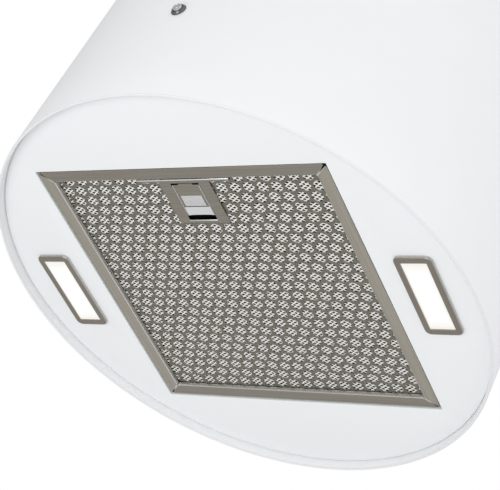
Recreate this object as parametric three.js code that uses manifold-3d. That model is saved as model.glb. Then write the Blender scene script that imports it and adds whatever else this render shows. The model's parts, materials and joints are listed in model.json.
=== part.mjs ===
// Island range hood: a white steel tube that hangs from the ceiling over a cooker.
// Its round glass underside holds a square grease filter and two lamps.
// Millimetres, +Z up, front is -Y. The origin is the middle of the ceiling plate's top face.

import * as THREE from "three";
import { mergeVertices } from "three/addons/utils/BufferGeometryUtils.js";
import Module from "manifold-3d";

const wasm = await Module();
wasm.setup();

// ---------- driving dimensions ----------

const gap = 0.3; // between pieces that touch

const hood = {
  height: 620,
  diameter: 395,
  wall: 1.2,
  hemThickness: 2.4,
  hemHeight: 14,
  topClearance: 2,
};

const glass = { recess: 8, thickness: 5, edgeGap: 0.8, opening: 247.5 };

const pan = { thickness: 1.2, flangeHeight: 26, edgeGap: 1.6, ledge: 8 };

const collar = { height: 22, wall: 1 };

const filter = {
  clearance: 1,
  recess: 1,
  metal: 0.8,
  backMetal: 0.5,
  faceWidth: 10,
  lipDepth: 3.1,
  backWidth: 8,
  meshThickness: 2.6,
  holeDiameter: 9,
  holePitch: 11.35,
  holeStep: 3,
  rowShift: -11.56,
  tabWidth: 26,
  tabFoot: 6,
};

const latch = {
  plateWidth: 43,
  plateLength: 40,
  barWidth: 78,
  barLength: 5,
  metal: 0.7,
  pocketWidth: 24,
  pocketLength: 35.5,
  travel: 4,
  sliderThickness: 1.3,
  tongueWidth: 11,
  tongueShort: 0.35,
  scoopLength: 11,
  scoopMetal: 0.8,
  nose: 1.6,
  noseHalf: 6,
  caseMetal: 0.6,
};

const lamp = {
  offset: 156.5,
  width: 30,
  length: 77,
  cornerRadius: 5,
  proud: 2.5,
  lensWidth: 20.5,
  lensLength: 66,
  lensThickness: 2.4,
  neckWall: 1.6,
  cutoutGap: 0.6,
  canHeight: 22,
  canWall: 0.8,
};

const button = {
  height: 92,
  capDiameter: 7.2,
  bezelDiameter: 11.6,
  barrelDiameter: 9.4,
  bezelProud: 2.2,
  capProud: 4.4,
  barrelLength: 12,
  nutAcross: 14,
  nutThickness: 3,
};

const ceiling = { plate: 2, flange: 26, ductHole: 176, anchorHole: 8, anchorRadius: 135 };

const angle = { leg: 20, metal: 2, azimuth: 34.3, edgeGap: 9 };

const shelf = { drop: 190, metal: 1.5, edgeGap: 3 };

const scroll = {
  wheelDiameter: 144,
  tongueClearance: 8,
  growth: 35,
  sweep: 300,
  innerWidth: 116,
  metal: 1.2,
  sideMetal: 1.5,
  neckHeight: 128,
  inletInset: 13,
  inletLip: 7,
};

const wheel = { width: 100, bladeCount: 16, bladeChord: 11, bladeMetal: 1.2, ringMetal: 2, hubDiameter: 20 };

const motor = { diameter: 76, length: 52, shaftDiameter: 8 };

const duct = { diameter: 150, wall: 1.5, height: 86, flange: 14, pinHeight: 14, pinDiameter: 4 };

const flap = { metal: 1.2, edgeGap: 1.2, pinGap: 5, sleeveWall: 1.6, sleeveLength: 14, sleeveStarts: [-50, 18] };

// ---------- materials ----------

const paint = (color, roughness, metalness) => new THREE.MeshStandardMaterial({ color, roughness, metalness });
const whiteSteel = paint(0xf2f3f4, 0.35, 0.1);
const whiteGlass = paint(0xeef0f1, 0.08, 0.0);
const brushedSteel = paint(0x8f887d, 0.4, 1.0);
const meshMetal = paint(0xd8d6d0, 0.3, 1.0);
const chrome = paint(0xe4e6e8, 0.12, 1.0);
const zincSteel = paint(0xb4b8ba, 0.5, 0.9);
const greyPlastic = paint(0x55585a, 0.6, 0.0);
const blackPlastic = paint(0x1c1d1e, 0.55, 0.0);
const whitePlastic = paint(0xffffff, 0.3, 0.0);
const boardGreen = paint(0x2f6b45, 0.6, 0.0);

// ---------- solids ----------

// A closed three.js geometry as a manifold-3d solid, with its faces turned outwards.
function solid(geometry) {
  const bare = geometry.clone();
  bare.deleteAttribute("normal");
  bare.deleteAttribute("uv");
  const merged = mergeVertices(bare, 1e-4);
  const make = (triVerts) =>
    new wasm.Manifold(
      new wasm.Mesh({ numProp: 3, vertProperties: merged.attributes.position.array, triVerts }),
    );
  const triangles = new Uint32Array(merged.index.array);
  const made = make(triangles);
  return made.volume() < 0 ? make(triangles.reverse()) : made;
}

function geometryOf(body) {
  const mesh = body.getMesh();
  const geometry = new THREE.BufferGeometry();
  geometry.setAttribute("position", new THREE.BufferAttribute(mesh.vertProperties, 3));
  geometry.setIndex(new THREE.BufferAttribute(mesh.triVerts, 1));
  geometry.computeVertexNormals();
  return geometry;
}

// A box given by its low and high corners.
function box(low, high) {
  const size = high.map((value, i) => value - low[i]);
  const geometry = new THREE.BoxGeometry(...size);
  geometry.translate(...low.map((value, i) => value + size[i] / 2));
  return solid(geometry);
}

// A cylinder from a start point along +X, +Y or +Z.
function rod(along, start, radius, length, sides = 24) {
  const geometry = new THREE.CylinderGeometry(radius, radius, length, sides);
  if (along === "x") geometry.rotateZ(-Math.PI / 2);
  if (along === "z") geometry.rotateX(Math.PI / 2);
  const middle = { x: 0, y: 0, z: 0 };
  middle[along] = length / 2;
  geometry.translate(start[0] + middle.x, start[1] + middle.y, start[2] + middle.z);
  return solid(geometry);
}

// A closed profile of [radius, z] points turned about Z.
function turned(profile, sides = 56) {
  const points = [...profile, profile[0]].map(([r, z]) => new THREE.Vector2(r, z));
  const geometry = new THREE.LatheGeometry(points, sides);
  geometry.rotateX(Math.PI / 2);
  return solid(geometry);
}

// A flat outline of [x, y] points raised from z = low to z = high.
function raised(outline, low, high) {
  const shape = new THREE.Shape(outline.map(([x, y]) => new THREE.Vector2(x, y)));
  return raisedShape(shape, low, high);
}

function raisedShape(shape, low, high, curveSegments = 6) {
  const geometry = new THREE.ExtrudeGeometry(shape, { depth: high - low, bevelEnabled: false, curveSegments });
  geometry.translate(0, 0, low);
  return solid(geometry);
}

// A rectangle about the origin with round corners.
function roundedRectangle(width, length, radius) {
  const shape = new THREE.Shape();
  const x = width / 2 - radius;
  const y = length / 2 - radius;
  shape.absarc(x, y, radius, 0, Math.PI / 2);
  shape.absarc(-x, y, radius, Math.PI / 2, Math.PI);
  shape.absarc(-x, -y, radius, Math.PI, 1.5 * Math.PI);
  shape.absarc(x, -y, radius, 1.5 * Math.PI, 2 * Math.PI);
  return shape;
}

const join = (first, ...rest) => rest.reduce((sum, piece) => sum.add(piece), first);
const cut = (first, ...rest) => rest.reduce((sum, piece) => sum.subtract(piece), first);

// ---------- scene ----------

const root = new THREE.Group();
const underside = new THREE.Group(); // z = 0 is the tube's lower rim
underside.position.z = -hood.height;
root.add(underside);

function place(group, name, body, material, position = [0, 0, 0], turn = 0) {
  const mesh = new THREE.Mesh(geometryOf(body), material);
  mesh.name = name;
  mesh.position.set(...position);
  mesh.rotation.z = turn;
  group.add(mesh);
}

const degrees = Math.PI / 180;
const sides = [
  { name: "left", sign: -1 },
  { name: "right", sign: 1 },
];

// ---------- tube, ceiling plate and frame ----------

const tubeRadius = hood.diameter / 2;
const boreRadius = tubeRadius - hood.wall;
const plateRadius = boreRadius - 1;
const screwDrop = ceiling.flange / 2 + ceiling.plate / 2;
const screwTurns = [45, 135, 225, 315].map((value) => value * degrees);
const screwHole = 2.6;
const screwHead = { radius: 4, height: 2.2, shoulder: 1.8 };

function tubeShell() {
  const top = hood.height - hood.topClearance;
  const inner = tubeRadius - hood.hemThickness;
  const wall = turned([
    [tubeRadius, 0],
    [tubeRadius, top],
    [boreRadius, top],
    [boreRadius, hood.hemHeight + hood.hemThickness],
    [inner, hood.hemHeight],
    [inner, 0],
  ]);
  const barrelHole = rod("y", [0, -tubeRadius - 5, button.height], button.barrelDiameter / 2 + gap, 12, 20);
  const screwHoles = screwTurns.map((turn) => screwBore(turn, hood.height - screwDrop));
  return cut(wall, barrelHole, ...screwHoles);
}

// A hole through the tube's wall, or through what lies behind it, for one fixing screw.
function screwBore(turn, z) {
  const bore = rod("x", [tubeRadius - 20, 0, z], screwHole, 40, 16);
  return bore.rotate([0, 0, turn / degrees]);
}

function ceilingPlate() {
  const low = -ceiling.flange;
  const plate = turned([
    [ceiling.ductHole / 2, -ceiling.plate],
    [ceiling.ductHole / 2, 0],
    [plateRadius, 0],
    [plateRadius, low],
    [plateRadius - ceiling.plate, low],
    [plateRadius - ceiling.plate, -ceiling.plate],
  ]);
  const anchors = [0, 90, 180, 270].map((value) => {
    const x = ceiling.anchorRadius * Math.cos(value * degrees);
    const y = ceiling.anchorRadius * Math.sin(value * degrees);
    return rod("z", [x, y, -ceiling.plate - 1], ceiling.anchorHole / 2, ceiling.plate + 2, 16);
  });
  const bores = screwTurns.map((turn) => screwBore(turn, -screwDrop));
  return cut(plate, ...anchors, ...bores);
}

// A button-head screw along +X: the head sits outside the tube, the shank reaches the flange.
function shellScrew() {
  const shankRadius = screwHole - gap;
  const reach = hood.wall + ceiling.plate + 5;
  const profile = [
    [0, -reach],
    [shankRadius, -reach],
    [shankRadius, gap],
    [screwHead.radius, gap],
    [screwHead.radius * 0.8, screwHead.shoulder],
    [0, screwHead.height],
  ];
  const points = profile.map(([r, z]) => new THREE.Vector2(r, z));
  const geometry = new THREE.LatheGeometry(points, 16);
  geometry.rotateZ(-Math.PI / 2);
  return solid(geometry);
}

const cornerRadius = boreRadius - angle.edgeGap;
const angleX = cornerRadius * Math.cos(angle.azimuth * degrees);
const angleY = cornerRadius * Math.sin(angle.azimuth * degrees);
const panTop = glass.recess + glass.thickness + gap + pan.thickness;
const angleLow = panTop + gap;
const angleHigh = hood.height - ceiling.plate - gap;

// The corner is at the origin and both legs run towards -X and -Y, grown by a margin.
function angleSection(margin, signX, signY) {
  const m = margin;
  const leg = angle.leg;
  const t = angle.metal;
  const outline = [
    [m, m],
    [-leg - m, m],
    [-leg - m, -t - m],
    [-t - m, -t - m],
    [-t - m, -leg - m],
    [m, -leg - m],
  ];
  return outline.map(([x, y]) => [x * signX, y * signY]);
}

const corners = [
  [1, 1],
  [-1, 1],
  [-1, -1],
  [1, -1],
];

function supportAngle(signX, signY) {
  return raised(angleSection(0, signX, signY), 0, angleHigh - angleLow);
}

// ---------- underside: glass, pan and collar ----------

const opening = glass.opening / 2;
const glassRadius = tubeRadius - hood.hemThickness - glass.edgeGap;
const glassTop = glass.recess + glass.thickness;
const neckWidth = lamp.lensWidth + 2 * lamp.neckWall;
const neckLength = lamp.lensLength + 2 * lamp.neckWall;

function lampCutout(sign, low, high) {
  const shape = roundedRectangle(neckWidth + 2 * lamp.cutoutGap, neckLength + 2 * lamp.cutoutGap, 2);
  return raisedShape(shape, low, high, 3).translate([sign * lamp.offset, 0, 0]);
}

function squareHole(half, low, high) {
  return box([-half, -half, low], [half, half, high]);
}

function bottomGlass() {
  const edge = 0.8; // ground edge
  const disc = turned([
    [0, glass.recess],
    [glassRadius - edge, glass.recess],
    [glassRadius, glass.recess + edge],
    [glassRadius, glassTop],
    [0, glassTop],
  ]);
  const lamps = sides.map(({ sign }) => lampCutout(sign, glass.recess - 1, glassTop + 1));
  return cut(disc, squareHole(opening, glass.recess - 1, glassTop + 1), ...lamps);
}

function basePan() {
  const low = glassTop + gap;
  const radius = boreRadius - pan.edgeGap;
  const dish = turned([
    [0, low],
    [radius, low],
    [radius, low + pan.flangeHeight],
    [radius - pan.thickness, low + pan.flangeHeight],
    [radius - pan.thickness, panTop],
    [0, panTop],
  ]);
  const lamps = sides.map(({ sign }) => lampCutout(sign, low - 1, panTop + 1));
  return cut(dish, squareHole(opening, low - 1, panTop + 1), ...lamps);
}

function filterCollar() {
  const half = opening + pan.ledge;
  const low = panTop + gap;
  const high = low + collar.height;
  return cut(squareHole(half + collar.wall, low, high), squareHole(half, low - 1, high + 1));
}

// ---------- grease filter ----------

const filterHalf = opening - filter.clearance;
const filterLow = glass.recess + filter.recess;
const sheetLow = filterLow + filter.lipDepth + gap;
const sheetHalf = filterHalf - filter.metal - gap;
const meshLow = sheetLow + filter.metal + gap;
const backLow = meshLow + filter.meshThickness + gap;
const filterDepth = backLow + filter.backMetal + gap + filter.metal - filterLow;

// A channel that faces inwards, cut at 45 degrees at both ends. It lies along X at the front.
function filterRail() {
  const t = filter.metal;
  const outline = [
    [0, 0],
    [filter.faceWidth, 0],
    [filter.faceWidth, filter.lipDepth],
    [filter.faceWidth - t, filter.lipDepth],
    [filter.faceWidth - t, t],
    [t, t],
    [t, filterDepth - t],
    [filter.backWidth, filterDepth - t],
    [filter.backWidth, filterDepth],
    [0, filterDepth],
  ];
  const geometry = new THREE.ExtrudeGeometry(
    new THREE.Shape(outline.map(([x, y]) => new THREE.Vector2(x, y))),
    { depth: 2 * filterHalf, bevelEnabled: false },
  );
  // inward distance becomes +Y, height stays up, the length runs along X
  geometry.applyMatrix4(
    new THREE.Matrix4().makeBasis(
      new THREE.Vector3(0, 1, 0),
      new THREE.Vector3(0, 0, 1),
      new THREE.Vector3(1, 0, 0),
    ),
  );
  geometry.translate(-filterHalf, -filterHalf, 0);
  const mitre = gap / 2;
  const reach = filter.faceWidth + 2;
  const wedge = raised(
    [
      [-filterHalf + mitre, -filterHalf],
      [filterHalf - mitre, -filterHalf],
      [filterHalf - mitre - reach, -filterHalf + reach],
      [-filterHalf + mitre + reach, -filterHalf + reach],
    ],
    -1,
    filterDepth + 1,
  );
  return solid(geometry).intersect(wedge);
}

const rails = [
  { name: "front", turn: 0 },
  { name: "right", turn: 90 },
  { name: "rear", turn: 180 },
  { name: "left", turn: 270 },
];

const tongueLow = sheetLow + filter.metal + gap;
const tongueHigh = tongueLow + latch.sliderThickness;

function frontRail() {
  const half = latch.tongueWidth / 2 + gap;
  const slot = box(
    [-half, -filterHalf - 1, tongueLow - filterLow - gap],
    [half, -filterHalf + filter.metal + 1, tongueHigh - filterLow + gap],
  );
  return cut(filterRail(), slot);
}

// A sheet with six-sided holes in staggered rows. It carries one hole in holeStep each way.
function perforatedSheet(low, thickness, keepOut) {
  const plate = squareHole(sheetHalf, low, low + thickness);
  const pitch = filter.holePitch * filter.holeStep;
  const rowPitch = pitch * Math.sin(60 * degrees);
  const usable = filterHalf - filter.faceWidth - filter.holeDiameter / 2 - 1;
  const rows = Math.ceil(usable / rowPitch);
  const columns = Math.floor(usable / pitch);
  const holes = [];
  for (let row = -rows; row <= rows; row++) {
    const shift = row % 2 === 0 ? 0 : pitch / 2;
    for (let column = -columns; column <= columns; column++) {
      const x = column * pitch + shift;
      const y = row * rowPitch + filter.rowShift;
      if (Math.max(Math.abs(x), Math.abs(y)) > usable || keepOut(x, y)) continue;
      holes.push(rod("z", [x, y, low - 1], filter.holeDiameter / 2, thickness + 2, 6));
    }
  }
  return cut(plate, ...holes);
}

const pocketFront = -filterHalf + filter.faceWidth + latch.barLength + 1.5;
const pocketRear = pocketFront + latch.pocketLength;
const plateFront = -filterHalf + filter.faceWidth + gap;
const plateRear = plateFront + latch.barLength + latch.plateLength;

function nearLatch(x, y) {
  const margin = filter.holeDiameter / 2 + 1;
  return Math.abs(x) < latch.plateWidth / 2 + margin && y < plateRear + margin;
}

function frontSheet() {
  const half = latch.pocketWidth / 2 + gap;
  const window = box([-half, pocketFront - gap, sheetLow - 1], [half, pocketRear + gap, sheetLow + 2]);
  return cut(perforatedSheet(sheetLow, filter.metal, nearLatch), window);
}

function backSheet() {
  return perforatedSheet(backLow, filter.backMetal, () => false);
}

// The expanded metal layers as one slab, cut away round the latch.
function meshPad() {
  const half = latch.plateWidth / 2;
  const low = meshLow - 1;
  const high = meshLow + filter.meshThickness;
  const pad = squareHole(sheetHalf, meshLow, high);
  return cut(pad, box([-half, -sheetHalf - 1, low], [half, plateRear, high + 1]));
}

// A hinge tab behind the rear rail, whose foot rests on the pan.
function filterTab() {
  const half = filter.tabWidth / 2;
  const low = panTop + gap;
  const high = filterLow + filterDepth;
  const start = filterHalf + gap;
  return join(
    box([-half, start, low], [half, start + filter.metal, high]),
    box([-half, start, low], [half, start + filter.metal + filter.tabFoot, low + filter.metal]),
  );
}

// ---------- filter latch ----------

const plateLow = sheetLow - gap - latch.metal;
const caseHigh = backLow - gap;
const caseCeiling = caseHigh - latch.caseMetal;
const springX = (latch.pocketWidth + latch.plateWidth) / 4 - 0.5;

// A T-shaped plate with a rolled front bar and a window for the slider.
function latchPlate() {
  const half = latch.plateWidth / 2;
  const barHalf = latch.barWidth / 2;
  const barRear = plateFront + latch.barLength;
  const high = plateLow + latch.metal;
  const body = box([-half, barRear - 0.5, plateLow], [half, plateRear, high]);
  const bar = box([-barHalf, plateFront, plateLow], [barHalf, barRear, high]);
  const roll = box([-barHalf, plateFront, plateLow - 0.7], [barHalf, plateFront + 1.4, high]);
  const window = box(
    [-latch.pocketWidth / 2, pocketFront, plateLow - 1],
    [latch.pocketWidth / 2, pocketRear, high + 1],
  );
  return cut(join(body, bar, roll), window);
}

// The slider fills its window but for the travel, carries a thumb scoop and ends in the tongue.
function latchSlider() {
  const half = latch.pocketWidth / 2 - gap;
  const low = plateLow + gap;
  const high = tongueLow + gap;
  const front = pocketFront + gap + latch.nose;
  const rear = pocketRear - gap - latch.travel;
  const plate = box([-half, front, low], [half, rear, high]);
  const nose = box([-latch.noseHalf, front - latch.nose, low], [latch.noseHalf, front + 1, high]);
  const scoopFront = rear - latch.scoopLength;
  const wellHigh = caseCeiling - gap;
  const well = box([-half + 1, scoopFront - 1, low + 1], [half - 1, rear, wellHigh]);
  const hollowRadius = latch.scoopLength * 0.9;
  const hollow = rod(
    "x",
    [-half + 2, scoopFront + latch.scoopLength / 2, wellHigh - latch.scoopMetal - hollowRadius],
    hollowRadius,
    2 * half - 4,
    32,
  ).intersect(box([-half, scoopFront, low - 1], [half, rear - 1, wellHigh]));
  const tongue = box(
    [-latch.tongueWidth / 2, -opening + latch.tongueShort, tongueLow],
    [latch.tongueWidth / 2, front + 6, tongueHigh],
  );
  const lugReach = springX + 2;
  const lugs = box([-lugReach, front, sheetLow + filter.metal + gap], [lugReach, front + 1, tongueHigh]);
  return cut(join(plate, nose, well, tongue, lugs), hollow);
}

// A shallow case behind the sheet that guides the slider.
function latchCase() {
  const half = latch.plateWidth / 2 - 1;
  const t = latch.caseMetal;
  const low = meshLow;
  const front = plateFront + 1;
  const rear = plateRear - 1;
  const outer = box([-half, front, low], [half, rear, caseHigh]);
  const inner = box([-half + t, front + t, low - 1], [half - t, rear - t, caseCeiling]);
  const slotHalf = latch.tongueWidth / 2 + 1;
  const slot = box([-slotHalf, front - 1, low - 1], [slotHalf, front + t + 1, tongueHigh + gap]);
  return cut(outer, inner, slot);
}

// A zigzag wire that pushes the slider forward, drawn as short as the slider squeezes it.
function latchSpring() {
  const wire = 0.5;
  const reach = 2.2;
  const turns = 6;
  const lugRear = pocketFront + gap + latch.nose + 1;
  const start = lugRear + latch.travel + gap;
  const pitch = (plateRear - 1 - latch.caseMetal - gap - wire - start) / turns;
  const low = meshLow + gap;
  const pieces = [];
  for (let i = 0; i <= turns; i++) {
    const y = start + i * pitch;
    pieces.push(box([-reach, y, low], [reach, y + wire, low + 1.2]));
    if (i === turns) continue;
    const edge = i % 2 === 0 ? reach - wire : -reach;
    pieces.push(box([edge, y, low], [edge + wire, y + pitch + wire, low + 1.2]));
  }
  return join(...pieces);
}

// ---------- lamps ----------

const bezelLow = glass.recess - lamp.proud;
const bezelHigh = glass.recess - gap;
const neckTop = panTop + 4;

function lampBezel() {
  const edge = 0.9; // sloping flank
  const face = roundedRectangle(lamp.width, lamp.length, lamp.cornerRadius);
  const flange = new THREE.ExtrudeGeometry(face, {
    depth: bezelHigh - bezelLow - edge,
    bevelEnabled: true,
    bevelThickness: edge,
    bevelSize: edge,
    bevelOffset: -edge,
    bevelSegments: 2,
    curveSegments: 4,
  });
  flange.translate(0, 0, bezelLow + edge);
  const base = box([-99, -99, bezelLow - 1], [99, 99, bezelHigh]);
  const neck = raisedShape(roundedRectangle(neckWidth, neckLength, 1.5), bezelHigh - 0.5, neckTop, 3);
  const bore = box(
    [-lamp.lensWidth / 2, -lamp.lensLength / 2, bezelLow - 1],
    [lamp.lensWidth / 2, lamp.lensLength / 2, neckTop + 1],
  );
  return cut(join(solid(flange).intersect(base), neck), bore);
}

function lampInsert(shrink, low, thickness) {
  const x = lamp.lensWidth / 2 - shrink;
  const y = lamp.lensLength / 2 - shrink;
  return box([-x, -y, low], [x, y, low + thickness]);
}

function lampCan() {
  const low = panTop + gap;
  const high = low + lamp.canHeight;
  const x = neckWidth / 2 + gap + lamp.canWall;
  const y = neckLength / 2 + gap + lamp.canWall;
  const outer = box([-x, -y, low], [x, y, high]);
  const inner = box(
    [-x + lamp.canWall, -y + lamp.canWall, low - 1],
    [x - lamp.canWall, y - lamp.canWall, high - lamp.canWall],
  );
  const ear = box([-x + 4, -y - 6, low], [x - 4, y + 6, low + lamp.canWall]);
  return cut(join(outer, ear), inner);
}

// ---------- push button ----------

// A profile of [radius, depth] turned about the button's axis, with depth growing into the tube.
function turnedInwards(profile, count = 24) {
  const geometry = new THREE.LatheGeometry(
    profile.map(([r, depth]) => new THREE.Vector2(r, depth)),
    count,
  );
  return solid(geometry);
}

function buttonBezel() {
  const outer = button.bezelDiameter / 2;
  const barrel = button.barrelDiameter / 2;
  const bore = button.capDiameter / 2 + gap;
  const face = -button.bezelProud;
  return turnedInwards([
    [bore, face],
    [outer - 1.4, face],
    [outer, -0.7],
    [outer, -gap],
    [barrel, -gap],
    [barrel, button.barrelLength],
    [bore, button.barrelLength],
    [bore, face],
  ]);
}

function buttonCap() {
  const r = button.capDiameter / 2;
  const face = -button.capProud;
  return turnedInwards([
    [0, face],
    [r - 0.9, face],
    [r, face + 0.9],
    [r, button.barrelLength - 4],
    [0, button.barrelLength - 4],
  ]);
}

function buttonNut() {
  const nut = new THREE.CylinderGeometry(button.nutAcross / 2, button.nutAcross / 2, button.nutThickness, 6);
  nut.translate(0, hood.wall + 1 + button.nutThickness / 2, 0);
  const bore = rod("y", [0, -5, 0], button.barrelDiameter / 2 + gap, 30, 24);
  return cut(solid(nut), bore);
}

function buttonSwitch() {
  const start = button.barrelLength + gap;
  return join(box([-7, start, -7], [7, start + 10, 7]), box([-4, start + 9, -5], [4, start + 16, 5]));
}

// ---------- blower ----------

const shelfLow = hood.height - shelf.drop;
const neckTopZ = shelfLow - gap;
const wheelZ = neckTopZ - scroll.neckHeight;
const tongueAngle = (360 - scroll.sweep) * degrees;
const smallRadius = scroll.wheelDiameter / 2 + scroll.tongueClearance;
const largeRadius = smallRadius + scroll.growth;
const inletRadius = scroll.wheelDiameter / 2 - scroll.inletInset;
const neckFront = smallRadius * Math.cos(tongueAngle);
const wheelY = -(neckFront + largeRadius) / 2;
const scrollHalf = scroll.innerWidth / 2;

// The spiral's outline about the wheel's axis, as [y, z] points, moved out by an offset.
// Its radius shrinks evenly from the outlet's rear wall round the bottom to the tongue.
function scrollOutline(offset, top) {
  const steps = 30;
  const points = [[largeRadius + offset, top]];
  for (let i = 0; i <= steps; i++) {
    const share = i / steps;
    const turn = -share * scroll.sweep * degrees;
    const radius = largeRadius - share * scroll.growth + offset;
    points.push([radius * Math.cos(turn), radius * Math.sin(turn)]);
  }
  const lastY = points[points.length - 1][0];
  points.push([lastY, top]);
  return points;
}

// An outline in the YZ plane spread along X between two places.
function spreadAlongX(outline, low, high) {
  const shape = new THREE.Shape(outline.map(([y, z]) => new THREE.Vector2(y, z)));
  const geometry = new THREE.ExtrudeGeometry(shape, { depth: high - low, bevelEnabled: false });
  geometry.applyMatrix4(
    new THREE.Matrix4().makeBasis(
      new THREE.Vector3(0, 1, 0),
      new THREE.Vector3(0, 0, 1),
      new THREE.Vector3(1, 0, 0),
    ),
  );
  geometry.translate(low, 0, 0);
  return solid(geometry);
}

function scrollWrap() {
  const outer = spreadAlongX(scrollOutline(scroll.metal, scroll.neckHeight), -scrollHalf, scrollHalf);
  const inner = spreadAlongX(scrollOutline(0, scroll.neckHeight + 5), -scrollHalf - 1, scrollHalf + 1);
  return cut(outer, inner);
}

function scrollSide() {
  const thickness = scroll.sideMetal;
  const plate = spreadAlongX(scrollOutline(scroll.metal + 3, scroll.neckHeight), 0, thickness);
  const lip = cut(
    rod("x", [0, 0, 0], inletRadius + 3, scroll.inletLip, 30),
    rod("x", [-1, 0, 0], inletRadius, scroll.inletLip + 2, 30),
  );
  return join(cut(plate, rod("x", [-1, 0, 0], inletRadius + 1, thickness + 2, 30)), lip);
}

function impellerWheel() {
  const half = wheel.width / 2;
  const outer = scroll.wheelDiameter / 2;
  const inner = outer - wheel.bladeChord;
  const ring = (low) =>
    cut(
      rod("x", [low, 0, 0], outer, wheel.ringMetal, 32),
      rod("x", [low - 1, 0, 0], inner, wheel.ringMetal + 2, 32),
    );
  const blades = [];
  for (let i = 0; i < wheel.bladeCount; i++) {
    const blade = box([-half, -wheel.bladeMetal / 2, inner + 0.6], [half, wheel.bladeMetal / 2, outer - 0.6]);
    blades.push(blade.rotate([(360 * i) / wheel.bladeCount, 0, 0]));
  }
  const disc = rod("x", [-12, 0, 0], inner + 2, wheel.ringMetal, 32);
  const hub = rod("x", [-20, 0, 0], wheel.hubDiameter / 2, 20, 24);
  const bore = rod("x", [-half, 0, 0], motor.shaftDiameter / 2 + gap, wheel.width, 20);
  return cut(join(ring(-half), ring(half - wheel.ringMetal), disc, hub, ...blades), bore);
}

const motorStart = 4;
const bracketLow = scrollHalf + gap + scroll.inletLip + gap;

function motorBody() {
  const r = motor.diameter / 2;
  const can = rod("x", [motorStart, 0, 0], r, motor.length, 32);
  const bossStart = motorStart + motor.length - 1;
  const boss = rod("x", [bossStart, 0, 0], 14, bracketLow - gap - bossStart, 24);
  const bore = rod("x", [motorStart - 1, 0, 0], motor.shaftDiameter / 2 + gap, motor.length - 8, 20);
  return cut(join(can, boss), bore);
}

// Three arms from a middle plate to a ring that is screwed round the right inlet.
function motorBracket() {
  const t = 2;
  const ringRadius = inletRadius + 16;
  const ring = cut(
    rod("x", [bracketLow, 0, 0], ringRadius, t, 30),
    rod("x", [bracketLow - 1, 0, 0], ringRadius - 10, t + 2, 30),
  );
  const arms = [90, 210, 330].map((value) =>
    box([bracketLow, -6, 10], [bracketLow + t, 6, ringRadius - 4]).rotate([value, 0, 0]),
  );
  const middle = rod("x", [bracketLow, 0, 0], 20, t, 24);
  return join(ring, middle, ...arms);
}

// ---------- shelf, duct collar and dampers ----------

function blowerShelf() {
  const radius = boreRadius - shelf.edgeGap;
  const disc = rod("z", [0, 0, 0], radius, shelf.metal, 56);
  const neck = box(
    [-scrollHalf + 2, wheelY + neckFront + 2, -1],
    [scrollHalf - 2, wheelY + largeRadius - 2, shelf.metal + 1],
  );
  const notches = corners.map(([x, y]) =>
    raised(angleSection(0.6, x, y), -1, shelf.metal + 1).translate([x * angleX, y * angleY, 0]),
  );
  return cut(disc, neck, ...notches);
}

const ductOuter = duct.diameter / 2;
const ductInner = ductOuter - duct.wall;
const flangeRadius = ductOuter + duct.flange;

function ductCollar() {
  const stop = 4; // inner ledge that the closed flaps rest on
  const stopHigh = duct.pinHeight - flap.metal / 2 - gap;
  const tube = turned(
    [
      [ductInner, 0],
      [flangeRadius, 0],
      [flangeRadius, duct.wall],
      [ductOuter, duct.wall],
      [ductOuter, duct.height],
      [ductInner, duct.height],
      [ductInner, stopHigh],
      [ductInner - stop, stopHigh],
      [ductInner - stop, stopHigh - 1.2],
      [ductInner, stopHigh - 1.2],
    ],
    40,
  );
  const pinHole = rod("x", [-ductOuter - 2, 0, duct.pinHeight], duct.pinDiameter / 2 + gap, duct.diameter + 4, 16);
  return cut(tube, pinHole);
}

function damperPin() {
  return rod("x", [-ductOuter - 1, 0, 0], duct.pinDiameter / 2, duct.diameter + 2, 16);
}

// A half disc with two sleeves round the pin, reaching towards +Y.
// Turned half a turn, its sleeves fall between those of the other flap.
function damperFlap() {
  const radius = ductInner - flap.edgeGap;
  const t = flap.metal;
  const disc = rod("z", [0, 0, -t / 2], radius, t, 40);
  const half = disc.intersect(box([-radius, flap.pinGap, -t], [radius, radius + 1, t]));
  const bore = duct.pinDiameter / 2 + gap;
  const sleeves = flap.sleeveStarts.map((x) =>
    join(
      rod("x", [x, 0, 0], bore + flap.sleeveWall, flap.sleeveLength, 20),
      box([x, 0, -t / 2], [x + flap.sleeveLength, flap.pinGap + 1, t / 2]),
    ),
  );
  return cut(join(half, ...sleeves), rod("x", [-radius, 0, 0], bore, 2 * radius, 20));
}

// ---------- wiring boxes ----------

const boxes = { width: 110, depth: 46, height: 58, wall: 2, fromFlange: 29 };
const gland = { x: -25, drop: 18, thread: 6.2, collar: 8, length: 22, bore: 3.2, nut: 9, nutThickness: 4 };
const board = { thickness: 1.6, standOff: 6, margin: 3, relayStarts: [-40, -18, 8], relaySize: 15 };
const terminal = { halfWidth: 24, depth: 20, height: 18, fromFlange: 4, y: -40 };
const driver = { halfWidth: 55, depth: 24, height: 25, fromFlange: 37 };

function controlBox() {
  const x = boxes.width / 2;
  const outer = box([-x, 0, 0], [x, boxes.depth, boxes.height]);
  const inner = box(
    [-x + boxes.wall, boxes.wall, boxes.wall],
    [x - boxes.wall, boxes.depth - boxes.wall, boxes.height + 1],
  );
  const glandHole = rod("y", [gland.x, -1, boxes.height - gland.drop], gland.thread + gap, boxes.wall + 3, 20);
  return cut(outer, inner, glandHole);
}

function controlLid() {
  const x = boxes.width / 2;
  return box([-x, 0, boxes.height + gap], [x, boxes.depth, boxes.height + gap + boxes.wall]);
}

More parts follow.
